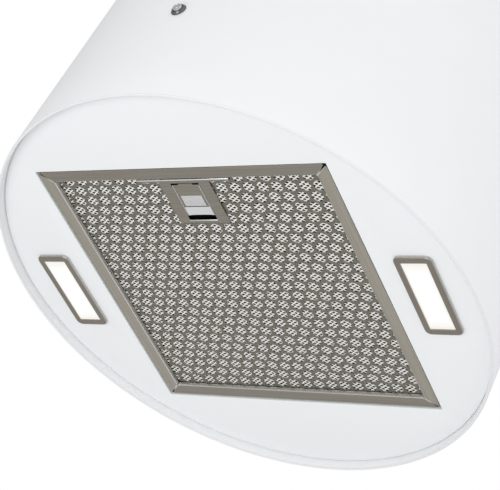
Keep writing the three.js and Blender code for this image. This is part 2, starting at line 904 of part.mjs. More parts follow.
function circuitBoard() {
  const inset = boxes.wall + board.margin;
  const x = boxes.width / 2 - inset;
  const low = boxes.wall + board.standOff;
  const high = low + board.thickness;
  const plate = box([-x, inset, low], [x, boxes.depth - inset, high]);
  const middle = boxes.depth / 2;
  const relays = board.relayStarts.map((start) =>
    box([start, middle - 9, high - 0.5], [start + board.relaySize, middle + 9, high + board.relaySize]),
  );
  return join(plate, ...relays);
}

// A gland along Y: a thread through the wall, a collar and a dome nut, with a bore for the cord.
function cableGland() {
  const end = boxes.wall + 8;
  return turnedInwards(
    [
      [gland.bore, -gland.length],
      [gland.thread, -gland.length],
      [gland.collar, -gland.length + 6],
      [gland.collar, -gap],
      [gland.thread, -gap],
      [gland.thread, end],
      [gland.bore, end],
      [gland.bore, -gland.length],
    ],
    20,
  );
}

function glandNut() {
  const start = boxes.wall + gap;
  const hexagon = rod("y", [0, start, 0], gland.nut, gland.nutThickness, 6);
  return cut(hexagon, rod("y", [0, start - 1, 0], gland.thread + gap, gland.nutThickness + 2, 20));
}

function terminalBlock() {
  const body = box([-terminal.halfWidth, 0, 0], [terminal.halfWidth, terminal.depth, terminal.height]);
  const pitch = terminal.halfWidth / 2;
  const wells = [-1.5, -0.5, 0.5, 1.5].map((step) =>
    rod("z", [step * pitch, terminal.depth / 2, terminal.height - 8], 3, 9, 12),
  );
  return cut(body, ...wells);
}

function ledDriver() {
  const foot = 3;
  const body = box([-driver.halfWidth + 10, 0, foot], [driver.halfWidth - 10, driver.depth, driver.height]);
  const base = box([-driver.halfWidth, 4, 0], [driver.halfWidth, driver.depth - 4, foot + 0.5]);
  return join(body, base);
}

// ---------- assembly ----------

place(root, "ceiling_plate", ceilingPlate(), zincSteel);
place(underside, "tube_shell", tubeShell(), whiteSteel);
screwTurns.forEach((turn, i) => {
  const x = tubeRadius * Math.cos(turn);
  const y = tubeRadius * Math.sin(turn);
  place(root, `shell_screw_${i + 1}`, shellScrew(), chrome, [x, y, -screwDrop], turn);
});
corners.forEach(([x, y], i) => {
  const position = [x * angleX, y * angleY, angleLow];
  place(underside, `support_angle_${i + 1}`, supportAngle(x, y), zincSteel, position);
});

place(underside, "bottom_glass", bottomGlass(), whiteGlass);
place(underside, "base_pan", basePan(), zincSteel);
place(underside, "filter_collar", filterCollar(), zincSteel);

rails.forEach(({ name, turn }) => {
  const body = name === "front" ? frontRail() : filterRail();
  place(underside, `filter_rail_${name}`, body, brushedSteel, [0, 0, filterLow], turn * degrees);
});
place(underside, "filter_front_sheet", frontSheet(), brushedSteel);
place(underside, "filter_mesh", meshPad(), meshMetal);
place(underside, "filter_back_sheet", backSheet(), brushedSteel);
sides.forEach(({ name, sign }) => {
  place(underside, `filter_tab_${name}`, filterTab(), brushedSteel, [sign * opening * 0.6, 0, 0]);
});
place(underside, "latch_plate", latchPlate(), brushedSteel);
place(underside, "latch_slider", latchSlider(), chrome);
place(underside, "latch_case", latchCase(), zincSteel);
sides.forEach(({ name, sign }) => {
  place(underside, `latch_spring_${name}`, latchSpring(), zincSteel, [sign * springX, 0, 0]);
});

sides.forEach(({ name, sign }) => {
  const at = [sign * lamp.offset, 0, 0];
  place(underside, `lamp_bezel_${name}`, lampBezel(), brushedSteel, at);
  place(underside, `lamp_lens_${name}`, lampInsert(gap, bezelLow + gap, lamp.lensThickness), whitePlastic, at);
  place(underside, `led_board_${name}`, lampInsert(gap, panTop, 1.6), boardGreen, at);
  place(underside, `lamp_can_${name}`, lampCan(), greyPlastic, at);
});

const buttonAt = [0, -tubeRadius, button.height];
place(underside, "button_bezel", buttonBezel(), chrome, buttonAt);
place(underside, "button_cap", buttonCap(), chrome, buttonAt);
place(underside, "button_nut", buttonNut(), chrome, buttonAt);
place(underside, "button_switch", buttonSwitch(), blackPlastic, buttonAt);

const wheelAt = [0, wheelY, wheelZ];
place(underside, "scroll_wrap", scrollWrap(), zincSteel, wheelAt);
place(underside, "scroll_side_right", scrollSide(), zincSteel, [scrollHalf + gap, wheelY, wheelZ]);
const leftSide = scrollSide().mirror([1, 0, 0]);
place(underside, "scroll_side_left", leftSide, zincSteel, [-scrollHalf - gap, wheelY, wheelZ]);
place(underside, "impeller_wheel", impellerWheel(), greyPlastic, wheelAt);
const shaftEnd = motorStart + motor.length - 12;
const shaft = rod("x", [-24, 0, 0], motor.shaftDiameter / 2, 24 + shaftEnd, 20);
place(underside, "impeller_shaft", shaft, chrome, wheelAt);
place(underside, "motor_body", motorBody(), zincSteel, wheelAt);
place(underside, "motor_bracket", motorBracket(), zincSteel, wheelAt);

const shelfTop = shelfLow + shelf.metal;
place(underside, "blower_shelf", blowerShelf(), zincSteel, [0, 0, shelfLow]);
const collarAt = [0, 0, shelfTop + gap];
place(underside, "duct_collar", ductCollar(), blackPlastic, collarAt);
const pinAt = [0, 0, shelfTop + gap + duct.pinHeight];
place(underside, "damper_pin", damperPin(), chrome, pinAt);
place(underside, "damper_flap_rear", damperFlap(), zincSteel, pinAt);
place(underside, "damper_flap_front", damperFlap(), zincSteel, pinAt, Math.PI);

const boxY = flangeRadius + boxes.fromFlange;
const boxAt = [0, boxY, shelfTop + gap];
place(underside, "control_box", controlBox(), greyPlastic, boxAt);
place(underside, "control_lid", controlLid(), greyPlastic, boxAt);
place(underside, "control_board", circuitBoard(), boardGreen, boxAt);
const glandAt = [gland.x, boxY, shelfTop + gap + boxes.height - gland.drop];
place(underside, "cable_gland", cableGland(), blackPlastic, glandAt);
place(underside, "gland_nut", glandNut(), blackPlastic, glandAt);
const driverAt = [0, -flangeRadius - driver.fromFlange - driver.depth, shelfTop + gap];
place(underside, "led_driver", ledDriver(), whitePlastic, driverAt);
const terminalAt = [flangeRadius + terminal.fromFlange + terminal.halfWidth, terminal.y, shelfTop + gap];
place(underside, "terminal_block", terminalBlock(), whitePlastic, terminalAt);

export default root;
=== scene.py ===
# %% [markdown]
# # An island range hood, seen from below
#
# The hood is a white steel tube that hangs from the ceiling. Its round underside is one
# sheet of glass, with a square grease filter in the middle and a lamp on each side.
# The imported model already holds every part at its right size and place. This lesson
# gives each visible part its finished surface: folded edges, punched holes, woven
# metal, brushed and painted finishes. Everything is in metres, +Z is up, and the front,
# with the push button and the filter latch, looks towards -Y.

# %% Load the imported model
import json
import math

import bmesh
import bpy
import numpy as np
from mathutils import Matrix, Vector


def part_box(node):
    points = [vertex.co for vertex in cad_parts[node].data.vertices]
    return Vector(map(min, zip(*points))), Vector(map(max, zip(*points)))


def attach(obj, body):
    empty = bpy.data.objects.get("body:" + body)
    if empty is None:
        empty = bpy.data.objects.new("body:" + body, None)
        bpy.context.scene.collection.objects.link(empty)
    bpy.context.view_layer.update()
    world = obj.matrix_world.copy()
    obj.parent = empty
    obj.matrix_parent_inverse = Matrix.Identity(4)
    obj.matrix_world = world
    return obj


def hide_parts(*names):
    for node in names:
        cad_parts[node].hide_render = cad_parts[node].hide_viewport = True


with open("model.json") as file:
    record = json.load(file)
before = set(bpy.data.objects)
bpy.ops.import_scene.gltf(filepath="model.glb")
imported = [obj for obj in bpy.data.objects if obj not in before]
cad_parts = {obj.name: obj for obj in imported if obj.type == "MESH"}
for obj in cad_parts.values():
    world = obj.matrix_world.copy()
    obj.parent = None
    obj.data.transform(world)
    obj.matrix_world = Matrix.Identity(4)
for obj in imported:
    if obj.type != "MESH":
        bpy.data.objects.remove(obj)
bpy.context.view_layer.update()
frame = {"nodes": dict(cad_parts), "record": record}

MM = 0.001

# %% [markdown]
# ## Reading sizes from the parts
#
# Each node's box gives its place, so no size is typed twice. The rim is the lowest
# edge of the tube, and most heights on the underside are counted from it.


# %% Boxes of the parts
def span(node):
    """The lowest and highest corners of a node, as two arrays."""
    low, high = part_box(node)
    return np.array(low), np.array(high)


tube_low, tube_high = span("tube_shell")
TUBE_RADIUS = tube_high[0]
RIM = tube_low[2]
glass_low, glass_high = span("bottom_glass")
rail_low, rail_high = span("filter_rail_front")
FILTER_HALF = rail_high[0]
RAIL_WIDTH = rail_high[1] - rail_low[1]
OPENING_HALF = FILTER_HALF + 1.15 * MM
sheet_low, sheet_high = span("filter_front_sheet")
LAMP_CENTRES = {side: sum(span(f"lamp_lens_{side}")) / 2 for side in ("left", "right")}
print("tube radius", round(TUBE_RADIUS, 4), "rim at", round(RIM, 4), "filter half", round(FILTER_HALF, 4))

# %% [markdown]
# ## Putting computed surfaces into meshes
#
# Every new piece below is a function that returns points and faces as numpy arrays.
# One helper turns those arrays into an object, shades it, gives it a body to ride on
# and hides the plain node that it stands for.


# %% Mesh helpers
def grid_faces(rows, columns, wrap_rows=False, wrap_columns=False):
    """Four-sided faces of a grid stored row by row. A wrapped side joins its last line to its first."""
    r = np.arange(rows if wrap_rows else rows - 1)
    c = np.arange(columns if wrap_columns else columns - 1)
    r, c = np.meshgrid(r, c, indexing="ij")
    r2, c2 = (r + 1) % rows, (c + 1) % columns
    corners = [r * columns + c, r * columns + c2, r2 * columns + c2, r2 * columns + c]
    return np.stack(corners, axis=-1).reshape(-1, 4)


def merge_parts(parts):
    """Several (points, faces) pairs as one list of points and one list of faces."""
    points, faces, start = [], [], 0
    for part_points, part_faces in parts:
        points.append(part_points)
        faces += [[int(i) + start for i in face] for face in part_faces]
        start += len(part_points)
    return np.concatenate(points), faces


def finish_mesh(name, parts, sharp=35, weld=0.002 * MM, recalculate=True):
    """An object from (points, faces) parts, with doubles merged and faces turned outwards."""
    points, faces = merge_parts(parts)
    mesh = bpy.data.meshes.new(name)
    mesh.from_pydata(points.tolist(), [], faces)
    work = bmesh.new()
    work.from_mesh(mesh)
    if weld:
        bmesh.ops.remove_doubles(work, verts=work.verts, dist=weld)
    if recalculate:
        bmesh.ops.recalc_face_normals(work, faces=work.faces)
    work.to_mesh(mesh)
    work.free()
    mesh.polygons.foreach_set("use_smooth", np.ones(len(mesh.polygons), dtype=bool))
    mesh.set_sharp_from_angle(angle=math.radians(sharp))
    piece = bpy.data.objects.new(name, mesh)
    bpy.context.scene.collection.objects.link(piece)
    return piece


def store_mask(piece, name, test):
    """Stores 1 at the points whose place passes the test and 0 at the others."""
    count = len(piece.data.vertices)
    points = np.empty(count * 3, dtype=np.float32)
    piece.data.vertices.foreach_get("co", points)
    points = points.reshape(-1, 3).astype(float)
    mask = test(points[:, 0], points[:, 1], points[:, 2]).astype(np.float32)
    piece.data.attributes.new(name, "FLOAT", "POINT").data.foreach_set("value", mask)


def place(piece, body, slot, material, *nodes):
    """Rides the piece on its body, gives it its finish and hides the nodes it stands for."""
    piece.data.materials.append(material)
    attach(piece, body)
    if nodes:
        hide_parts(*nodes)


# %% Curves and outlines
def arc(centre, radius, start, end, count=9):
    """Points on a circle's arc, from one angle to another in degrees."""
    turn = np.radians(np.linspace(start, end, count))
    return np.stack([centre[0] + radius * np.cos(turn), centre[1] + radius * np.sin(turn)], axis=1)


def circle(radius, count, centre=(0.0, 0.0)):
    """A closed circle, counterclockwise, without its last point."""
    return arc(centre, radius, 0, 360, count + 1)[:-1]


def rounded(corners, radius, count=5):
    """A closed outline with each corner replaced by an arc that touches both of its edges."""
    corners = np.asarray(corners, dtype=float)
    radii = np.broadcast_to(radius, len(corners))
    pieces = []
    for i, corner in enumerate(corners):
        before = corners[i - 1] - corner
        after = corners[(i + 1) % len(corners)] - corner
        before /= np.linalg.norm(before)
        after /= np.linalg.norm(after)
        half = np.arccos(np.clip(np.dot(before, after), -1, 1)) / 2
        reach = radii[i] / np.tan(half)
        middle = (before + after) / np.linalg.norm(before + after) * radii[i] / np.sin(half)
        start = before * reach - middle
        end = after * reach - middle
        share = np.linspace(0, 1, count)[:, None]
        turn = np.pi - 2 * half
        weights = np.sin((1 - share) * turn), np.sin(share * turn)
        pieces.append(corner + middle + (weights[0] * start + weights[1] * end) / np.sin(turn))
    return np.concatenate(pieces)


def rectangle(half_x, half_y, radius, count=5, centre=(0.0, 0.0)):
    """A rectangle with round corners, counterclockwise."""
    x, y = centre
    corners = [(x + a * half_x, y + b * half_y) for a, b in ((1, -1), (1, 1), (-1, 1), (-1, -1))]
    return rounded(corners, radius, count)


def outward(outline):
    """Unit normals that point to the right of each point's direction of travel."""
    ahead = np.roll(outline, -1, axis=0) - outline
    behind = outline - np.roll(outline, 1, axis=0)
    ahead /= np.maximum(np.linalg.norm(ahead, axis=1, keepdims=True), 1e-12)
    behind /= np.maximum(np.linalg.norm(behind, axis=1, keepdims=True), 1e-12)
    along = ahead + behind
    along /= np.maximum(np.linalg.norm(along, axis=1, keepdims=True), 1e-12)
    mitre = 1 / np.maximum(np.sum(along * ahead, axis=1, keepdims=True), 0.5)
    return np.stack([along[:, 1], -along[:, 0]], axis=1) * mitre


# %% [markdown]
# ## Three ways to make a part
#
# * A **turned** part is a profile swung about an axis, as on a lathe.
# * A **plate** is a flat outline with holes, whose edges are rounded on both faces.
# * A **lofted** part joins outlines that have the same number of points.
#
# Almost every sheet metal part of a hood is one of these.


# %% Turned, plate and lofted parts
def turned(profile, turns, axis="z", centre=(0.0, 0.0, 0.0), closed=True):
    """A surface of revolution: radius and height of the profile, swung through the given angles.
    x = radius cos(turn), y = radius sin(turn), z = height, then the axis is renamed."""
    profile = np.asarray(profile)
    turns = np.asarray(turns)
    x = profile[:, 0][:, None] * np.cos(turns)
    y = profile[:, 0][:, None] * np.sin(turns)
    z = np.broadcast_to(profile[:, 1][:, None], x.shape)
    order = {"z": (x, y, z), "y": (y, z, x), "x": (z, x, y)}[axis]
    points = np.stack(order, axis=-1).reshape(-1, 3) + np.array(centre)
    return points, grid_faces(len(profile), len(turns), wrap_rows=closed, wrap_columns=True)


def full_turn(count):
    return np.linspace(0, 2 * np.pi, count, endpoint=False)


def hexagon(apothem, turns):
    """Distance from the middle to a hexagon's side at each angle: apothem / cos(angle within its side)."""
    return apothem / np.cos((turns + np.pi / 6) % (np.pi / 3) - np.pi / 6)


def about_z(turn, x, y, z):
    """Points turned about Z: with c and s the turn's cosine and sine, (c x - s y, s x + c y, z)."""
    c, s = math.cos(turn), math.sin(turn)
    return np.stack([c * x - s * y, s * x + c * y, z], axis=-1).reshape(-1, 3)


def flat_fill(outlines, height):
    """The flat area between the first outline and the others, as triangles."""
    work = bmesh.new()
    for outline in outlines:
        verts = [work.verts.new((float(x), float(y), height)) for x, y in outline]
        for i, vert in enumerate(verts):
            work.edges.new((vert, verts[(i + 1) % len(verts)]))
    bmesh.ops.triangle_fill(work, use_beauty=True, use_dissolve=False, edges=work.edges)
    work.verts.index_update()
    points = np.array([vert.co[:] for vert in work.verts])
    faces = [[vert.index for vert in face.verts] for face in work.faces]
    work.free()
    return points, faces


def plate(outer, holes, low, high, edge=0.2 * MM, steps=3):
    """A flat plate. Each edge is a quarter circle of the given radius:
    inset = edge (1 - sin t) and height = edge (1 - cos t) from the face."""
    t = np.linspace(0, np.pi / 2, steps + 1)
    inset = edge * (1 - np.sin(t))
    rise = edge * (1 - np.cos(t))
    insets = np.concatenate([inset, inset[::-1]])
    heights = np.concatenate([low + rise, (high - rise)[::-1]])
    parts, faces_low, faces_high = [], [], []
    for outline, side in [(outer, 1)] + [(hole, -1) for hole in holes]:
        normal = outward(outline) * side
        rings = outline[None, :, :] - normal[None, :, :] * insets[:, None, None]
        level = np.broadcast_to(heights[:, None, None], rings.shape[:2] + (1,))
        points = np.concatenate([rings, level], axis=2).reshape(-1, 3)
        parts.append((points, grid_faces(len(insets), len(outline), wrap_columns=True)))
        faces_low.append(rings[0])
        faces_high.append(rings[-1])
    return parts + [flat_fill(faces_low, low), flat_fill(faces_high, high)]


def capped_faces(rows, count, ends=(True, True)):
    """Faces of a tube made of rings, with a flat cap on each end that is asked for."""
    faces = grid_faces(rows, count, wrap_columns=True).tolist()
    caps = [range(count), range((rows - 1) * count, rows * count)]
    return faces + [list(cap) for cap, asked in zip(caps, ends) if asked]


def lofted(outlines, heights, close_ends=(False, False)):
    """Rings of equal length joined in order, each at its own height. Ends may be capped."""
    rings = np.stack(outlines)
    level = np.broadcast_to(np.asarray(heights)[:, None, None], rings.shape[:2] + (1,))
    points = np.concatenate([rings, level], axis=2).reshape(-1, 3)
    return points, capped_faces(*rings.shape[:2], close_ends)


# %% [markdown]
# ## Shared surface effects
#
# Brushing, moulded grain and handling marks appear on many parts, so each is a node
# group with named inputs. A group only puts out masks and normals. The shader itself
# stays in each material, with its plain values set on its own sockets.


# %% Node helpers
def put(tree, socket, value):
    """Links another node's output to this input, or sets the input to a plain value."""
    if isinstance(value, bpy.types.NodeSocket):
        tree.links.new(value, socket)
    else:
        socket.default_value = value


def add(tree, kind, **inputs):
    """A new shader node. Each named input is an output of another node or a plain value."""
    node = tree.nodes.new(f"ShaderNode{kind}")
    for label, value in inputs.items():
        put(tree, node.inputs[label.replace("_", " ")], value)
    return node


def calculate(tree, operation, *values):
    """A math node on one or two values."""
    node = tree.nodes.new("ShaderNodeMath")
    node.operation = operation
    for socket, value in zip(node.inputs, values):
        put(tree, socket, value)
    return node.outputs[0]


def remap(tree, value, low, high, new_low, new_high):
    """Turns the range from low to high into the range from new_low to new_high."""
    limits = {"From_Min": low, "From_Max": high, "To_Min": new_low, "To_Max": new_high}
    return add(tree, "MapRange", Value=value, **limits).outputs["Result"]


def mixed(tree, mask, first, second):
    """The first colour where the mask is 0 and the second where it is 1."""
    mix = tree.nodes.new("ShaderNodeMix")
    mix.data_type = "RGBA"
    for label, value in (("Factor", mask), ("A", first), ("B", second)):
        put(tree, mix.inputs[label], (*value, 1.0) if isinstance(value, tuple) else value)
    return mix.outputs["Result"]


def noise(tree, where, scale, detail, roughness=0.5):
    texture = add(tree, "TexNoise", Vector=where, Scale=scale, Detail=detail, Roughness=roughness)
    return texture.outputs["Fac"]


def bump(tree, height, distance, strength=1.0):
    return add(tree, "Bump", Strength=strength, Distance=distance, Height=height).outputs["Normal"]


def coordinate(tree, axis=None, kind="Object"):
    """The place on the object, or one of its three numbers."""
    where = tree.nodes.new("ShaderNodeTexCoord").outputs[kind]
    return add(tree, "SeparateXYZ", Vector=where).outputs[axis] if axis else where


# %% Node groups: brushed lines, grain and smudges
def new_group(name, inputs, outputs):
    """A node group, and the sockets that it reads from and writes to."""
    group = bpy.data.node_groups.new(name, "ShaderNodeTree")
    for label, kind, value in inputs:
        socket = group.interface.new_socket(label, in_out="INPUT", socket_type=f"NodeSocket{kind}")
        if value is not None:
            socket.default_value = value
    for label, kind in outputs:
        group.interface.new_socket(label, in_out="OUTPUT", socket_type=f"NodeSocket{kind}")
    return group, group.nodes.new("NodeGroupInput").outputs, group.nodes.new("NodeGroupOutput").inputs


def brushed_group():
    """Noise squeezed along one direction: the place is multiplied by Stretch before it is read."""
    inputs = [("Place", "Vector", None), ("Stretch", "Vector", (1.0, 1.0, 1.0)), ("Depth", "Float", 0.3)]
    group, start, end = new_group("brushed lines", inputs, [("Lines", "Float"), ("Normal", "Vector")])
    scaled = group.nodes.new("ShaderNodeVectorMath")
    scaled.operation = "MULTIPLY"
    put(group, scaled.inputs[0], start["Place"])
    put(group, scaled.inputs[1], start["Stretch"])
    lines = noise(group, scaled.outputs[0], 1.0, 4.0, 0.6)
    put(group, end["Lines"], lines)
    put(group, end["Normal"], bump(group, lines, 0.02 * MM, start["Depth"]))
    return group


def grain_group():
    """The fine texture of moulded plastic and sprayed paint."""
    inputs = [("Place", "Vector", None), ("Scale", "Float", 800.0), ("Depth", "Float", 0.2)]
    group, start, end = new_group("surface grain", inputs, [("Grain", "Float"), ("Normal", "Vector")])
    grain = noise(group, start["Place"], start["Scale"], 2.0)
    put(group, end["Grain"], grain)
    put(group, end["Normal"], bump(group, grain, 0.05 * MM, start["Depth"]))
    return group


def smudge_group():
    """The soft patches left by handling and wiping."""
    inputs = [("Place", "Vector", None), ("Scale", "Float", 14.0)]
    group, start, end = new_group("smudges", inputs, [("Patches", "Float")])
    broad = noise(group, start["Place"], start["Scale"], 4.0, 0.65)
    put(group, end["Patches"], remap(group, broad, 0.35, 0.7, 0.0, 1.0))
    return group


BRUSHED = brushed_group()
GRAIN = grain_group()
SMUDGES = smudge_group()


# %% Material helpers
def new_material(name, roughness=0.5, metallic=0.0):
    """A material, its node tree and the inputs of its one shader."""
    material = bpy.data.materials.new(name)
    material.use_nodes = True
    shader = material.node_tree.nodes["Principled BSDF"].inputs
    shader["Roughness"].default_value = roughness
    shader["Metallic"].default_value = metallic
    return material, material.node_tree, shader


def use_group(tree, group, **values):
    """Places a shared effect in a material and gives its outputs."""
    node = tree.nodes.new("ShaderNodeGroup")
    node.node_tree = group
    put(tree, node.inputs["Place"], coordinate(tree))
    for label, value in values.items():
        put(tree, node.inputs[label], value)
    return node.outputs


def grained(tree, shader, scale, depth):
    """Gives the shader a fine texture and puts out its pattern."""
    grain = use_group(tree, GRAIN, Scale=scale, Depth=depth)
    put(tree, shader["Normal"], grain["Normal"])
    return grain["Grain"]


def smudged(tree, shader, scale, colours, roughness):
    """Soft patches shift the colour and the roughness together between two values each."""
    patches = use_group(tree, SMUDGES, Scale=scale)["Patches"]
    put(tree, shader["Base Color"], mixed(tree, patches, *colours))
    put(tree, shader["Roughness"], remap(tree, patches, 0, 1, *roughness))


# %% [markdown]
# ## Painted steel and painted glass
#
# The tube is powder coated: satin white with a faint orange peel. Round its folded rim
# the white is painted greyer, a painted shade that dims the bright line along the bead.
# The underside is glass painted white on its hidden face, so it is glossier and a touch
# cooler, and its ground edge shows the green of the glass itself.


# %% White finishes
def powder_coat():
    material, tree, shader = new_material("white powder coat")
    smudged(tree, shader, 5.0, [(0.885, 0.89, 0.9), (0.905, 0.91, 0.915)], (0.3, 0.37))
    coat = shader["Base Color"].links[0].from_socket
    # Painted shade: from about 1.6 mm above the rim downwards the white is painted greyer, to dim the
    # bead's bright line.
    rim = remap(tree, coordinate(tree, "Z"), RIM + 0.8 * MM, RIM + 1.6 * MM, 1.0, 0.0)
    put(tree, shader["Base Color"], mixed(tree, rim, coat, (0.79, 0.795, 0.8)))
    grained(tree, shader, 520.0, 0.12)
    return material


def painted_glass():
    material, tree, shader = new_material("white painted glass")
    flatness = calculate(tree, "ABSOLUTE", coordinate(tree, "Z", "Normal"))
    edge = remap(tree, flatness, 0.2, 0.9, 1.0, 0.0)
    put(tree, shader["Base Color"], mixed(tree, edge, (0.86, 0.872, 0.882), (0.84, 0.872, 0.862)))
    patches = use_group(tree, SMUDGES, Scale=9.0)["Patches"]
    put(tree, shader["Roughness"], remap(tree, patches, 0, 1, 0.045, 0.09))
    return material


POWDER_COAT = powder_coat()
PAINTED_GLASS = painted_glass()

# %% [markdown]
# ## Metals
#
# Filter rails, sheets and lamp bezels are brushed stainless steel. The brushing runs
# along each rail, so the same recipe is made for lines along X and along Y. The copy
# along Y, used on the side rails, is painted lighter than the one along X: painted
# light. The rails' folds and mitres and the bezels' shoulders carry a painted highlight.
# Behind the holes lies bright, crinkled aluminium mesh. Moving latch parts are chromed,
# and the hidden frame is zinc-coated sheet with its faint crystal pattern.


# %% Brushed steel, with painted highlights on its folds
def brushed_steel(name, stretch, dark, light, roughness):
    """Brushed steel: long noise lines change the tint, the roughness and the normal."""
    material, tree, shader = new_material(name, metallic=1.0)
    brushed = use_group(tree, BRUSHED, Stretch=stretch, Depth=0.35)
    lines = remap(tree, brushed["Lines"], 0.3, 0.7, 0.0, 1.0)
    put(tree, shader["Base Color"], mixed(tree, lines, dark, light))
    streaks = remap(tree, lines, 0, 1, roughness - 0.06, roughness + 0.06)
    patches = remap(tree, use_group(tree, SMUDGES, Scale=11.0)["Patches"], 0, 1, 0.0, 0.07)
    put(tree, shader["Roughness"], calculate(tree, "ADD", streaks, patches))
    put(tree, shader["Normal"], brushed["Normal"])
    return material


def stored_mask(tree, name):
    """A number between 0 and 1 that the mesh stores at each of its points."""
    node = tree.nodes.new("ShaderNodeAttribute")
    node.attribute_name = name
    return node.outputs["Fac"]


def painted_highlight(material, mask):
    """Painted highlight: where the mask is 1 the colour is painted bright and the roughness drops to that
    of polished metal.
    """
    tree = material.node_tree
    shader = tree.nodes["Principled BSDF"].inputs
    for label, bright in (("Base Color", (0.86, 0.86, 0.85)), ("Roughness", (0.16, 0.16, 0.16))):
        before = shader[label].links[0].from_socket
        put(tree, shader[label], mixed(tree, mask, before, bright))


LONG, ACROSS = 12.0, 2600.0
ALONG_X = (LONG, ACROSS, ACROSS)
ALONG_Y = (ACROSS, LONG, ACROSS)
STEEL_X = brushed_steel("brushed steel along X", ALONG_X, (0.27, 0.245, 0.205), (0.37, 0.34, 0.29), 0.36)
# Painted light: the side rails' copy along Y is painted about 1.4 times lighter than the copy along X.
SIDE_RAIL_STEEL_PAINTED_LIGHTER = brushed_steel("brushed steel along Y painted lighter", ALONG_Y, (0.38, 0.347, 0.292), (0.51, 0.47, 0.405), 0.36)
SHEET_STEEL = brushed_steel(
    "perforated sheet steel", ALONG_X, (0.2, 0.185, 0.155), (0.28, 0.262, 0.222), 0.42,
)
BEZEL_STEEL = brushed_steel("lamp bezel steel", ALONG_Y, (0.25, 0.22, 0.185), (0.33, 0.30, 0.255), 0.32)
# Painted highlight on the rails' lip flanks and mitres, where the stored mask is above 0.
for steel in (STEEL_X, SIDE_RAIL_STEEL_PAINTED_LIGHTER):
    painted_highlight(steel, stored_mask(steel.node_tree, "painted_highlight"))
# Painted highlight: each bezel is painted brighter above its flat face, over its shoulder and flank.
tree = BEZEL_STEEL.node_tree
shoulder = span("lamp_bezel_left")[0][2] + 0.35 * MM
painted_highlight(BEZEL_STEEL, remap(tree, coordinate(tree, "Z"), shoulder, shoulder + 0.4 * MM, 0.0, 0.45))


# %% Aluminium, chrome and zinc
def bright_mesh():
    material, tree, shader = new_material("bright aluminium mesh", 0.38, 0.15)
    crinkle = grained(tree, shader, 420.0, 0.3)
    put(tree, shader["Base Color"], mixed(tree, crinkle, (0.96, 0.94, 0.89), (1.0, 0.98, 0.935)))
    return material


def chrome(name, roughness, level):
    """Polished metal whose smudges are a little darker. The level is how much light it gives back."""
    material, tree, shader = new_material(name, metallic=1.0)
    dull = (0.94 * level, 0.95 * level, 0.96 * level)
    smudged(tree, shader, 60.0, [dull, (level, level, level)], (roughness - 0.02, roughness + 0.05))
    return material


def zinc_sheet(name, dark, light, roughness):
    """Zinc crystals: a Voronoi cell pattern gives every crystal its own tint and gloss."""
    material, tree, shader = new_material(name, metallic=1.0)
    cells = add(tree, "TexVoronoi", Vector=coordinate(tree), Scale=95.0)
    shade = add(tree, "SeparateColor", Color=cells.outputs["Color"]).outputs
    put(tree, shader["Base Color"], mixed(tree, shade["Red"], dark, light))
    put(tree, shader["Roughness"], remap(tree, shade["Green"], 0, 1, roughness - 0.08, roughness + 0.08))
    grained(tree, shader, 900.0, 0.15)
    return material


BRIGHT_MESH = bright_mesh()
CHROME = chrome("chrome", 0.08, 0.92)
SATIN_CHROME = chrome("satin chrome", 0.22, 0.86)
BUTTON_STEEL = chrome("button steel", 0.16, 0.6)
BUTTON_RING = chrome("button ring steel", 0.2, 0.17)
ZINC = zinc_sheet("zinc coated sheet", (0.56, 0.58, 0.59), (0.68, 0.7, 0.71), 0.42)
# Painted shade: near-black steel that stands in for the shade inside the latch's cavity.
LATCH_SHADE_STEEL = zinc_sheet("steel painted dark as shade", (0.02, 0.02, 0.021), (0.04, 0.04, 0.041), 0.5)
FLAP_METAL = zinc_sheet("rolled aluminium flap", (0.7, 0.71, 0.72), (0.8, 0.81, 0.82), 0.34)


# %% Plastics, boards and the lit diffuser
def moulded(name, colour, lighter, roughness):
    material, tree, shader = new_material(name)
    smudged(tree, shader, 30.0, [colour, lighter], (roughness - 0.05, roughness + 0.05))
    grained(tree, shader, 1400.0, 0.4)
    return material


def circuit_board():
    """Green board: thin copper tracks are the borders of a brick pattern."""
    material, tree, shader = new_material("circuit board", 0.45)
    bricks = add(
        tree, "TexBrick", Vector=coordinate(tree), Scale=120.0, Mortar_Size=0.03,
        Color1=(0.02, 0.13, 0.06, 1), Color2=(0.025, 0.17, 0.08, 1), Mortar=(0.08, 0.3, 0.14, 1),
    )
    put(tree, shader["Base Color"], bricks.outputs["Color"])
    return material


def lit_diffuser():
    """The glow is even in the middle and falls off near the lamp's border. The border mask is the
    larger of two: each grows from 0 at 55 % of the way from a middle line to 1 at the edge."""
    material, tree, shader = new_material("lit diffuser", 0.3)
    edges = []
    offset = abs(LAMP_CENTRES["left"][0])
    half_width, half_length, even = 10.25 * MM, 33 * MM, 0.55
    for axis, centre, half in (("X", offset, half_width), ("Y", 0.0, half_length)):
        side = calculate(tree, "ABSOLUTE", coordinate(tree, axis))
        distance = calculate(tree, "ABSOLUTE", calculate(tree, "SUBTRACT", side, centre))
        edges.append(remap(tree, distance, half * even, half, 0.0, 1.0))
    edge = calculate(tree, "MAXIMUM", *edges)
    put(tree, shader["Emission Color"], mixed(tree, edge, (1.0, 1.0, 0.995), (0.8, 0.765, 0.71)))
    shader["Emission Strength"].default_value = 0.84
    grain = grained(tree, shader, 700.0, 0.3)
    put(tree, shader["Base Color"], mixed(tree, grain, (0.2, 0.2, 0.195), (0.24, 0.24, 0.235)))
    return material


GREY_PLASTIC = moulded("grey plastic", (0.22, 0.225, 0.23), (0.27, 0.275, 0.28), 0.5)
BLACK_PLASTIC = moulded("black plastic", (0.018, 0.018, 0.02), (0.03, 0.03, 0.032), 0.45)
WHITE_PLASTIC = moulded("white plastic", (0.74, 0.74, 0.72), (0.8, 0.8, 0.785), 0.4)
BOARD = circuit_board()
DIFFUSER = lit_diffuser()
print("materials", len(bpy.data.materials))

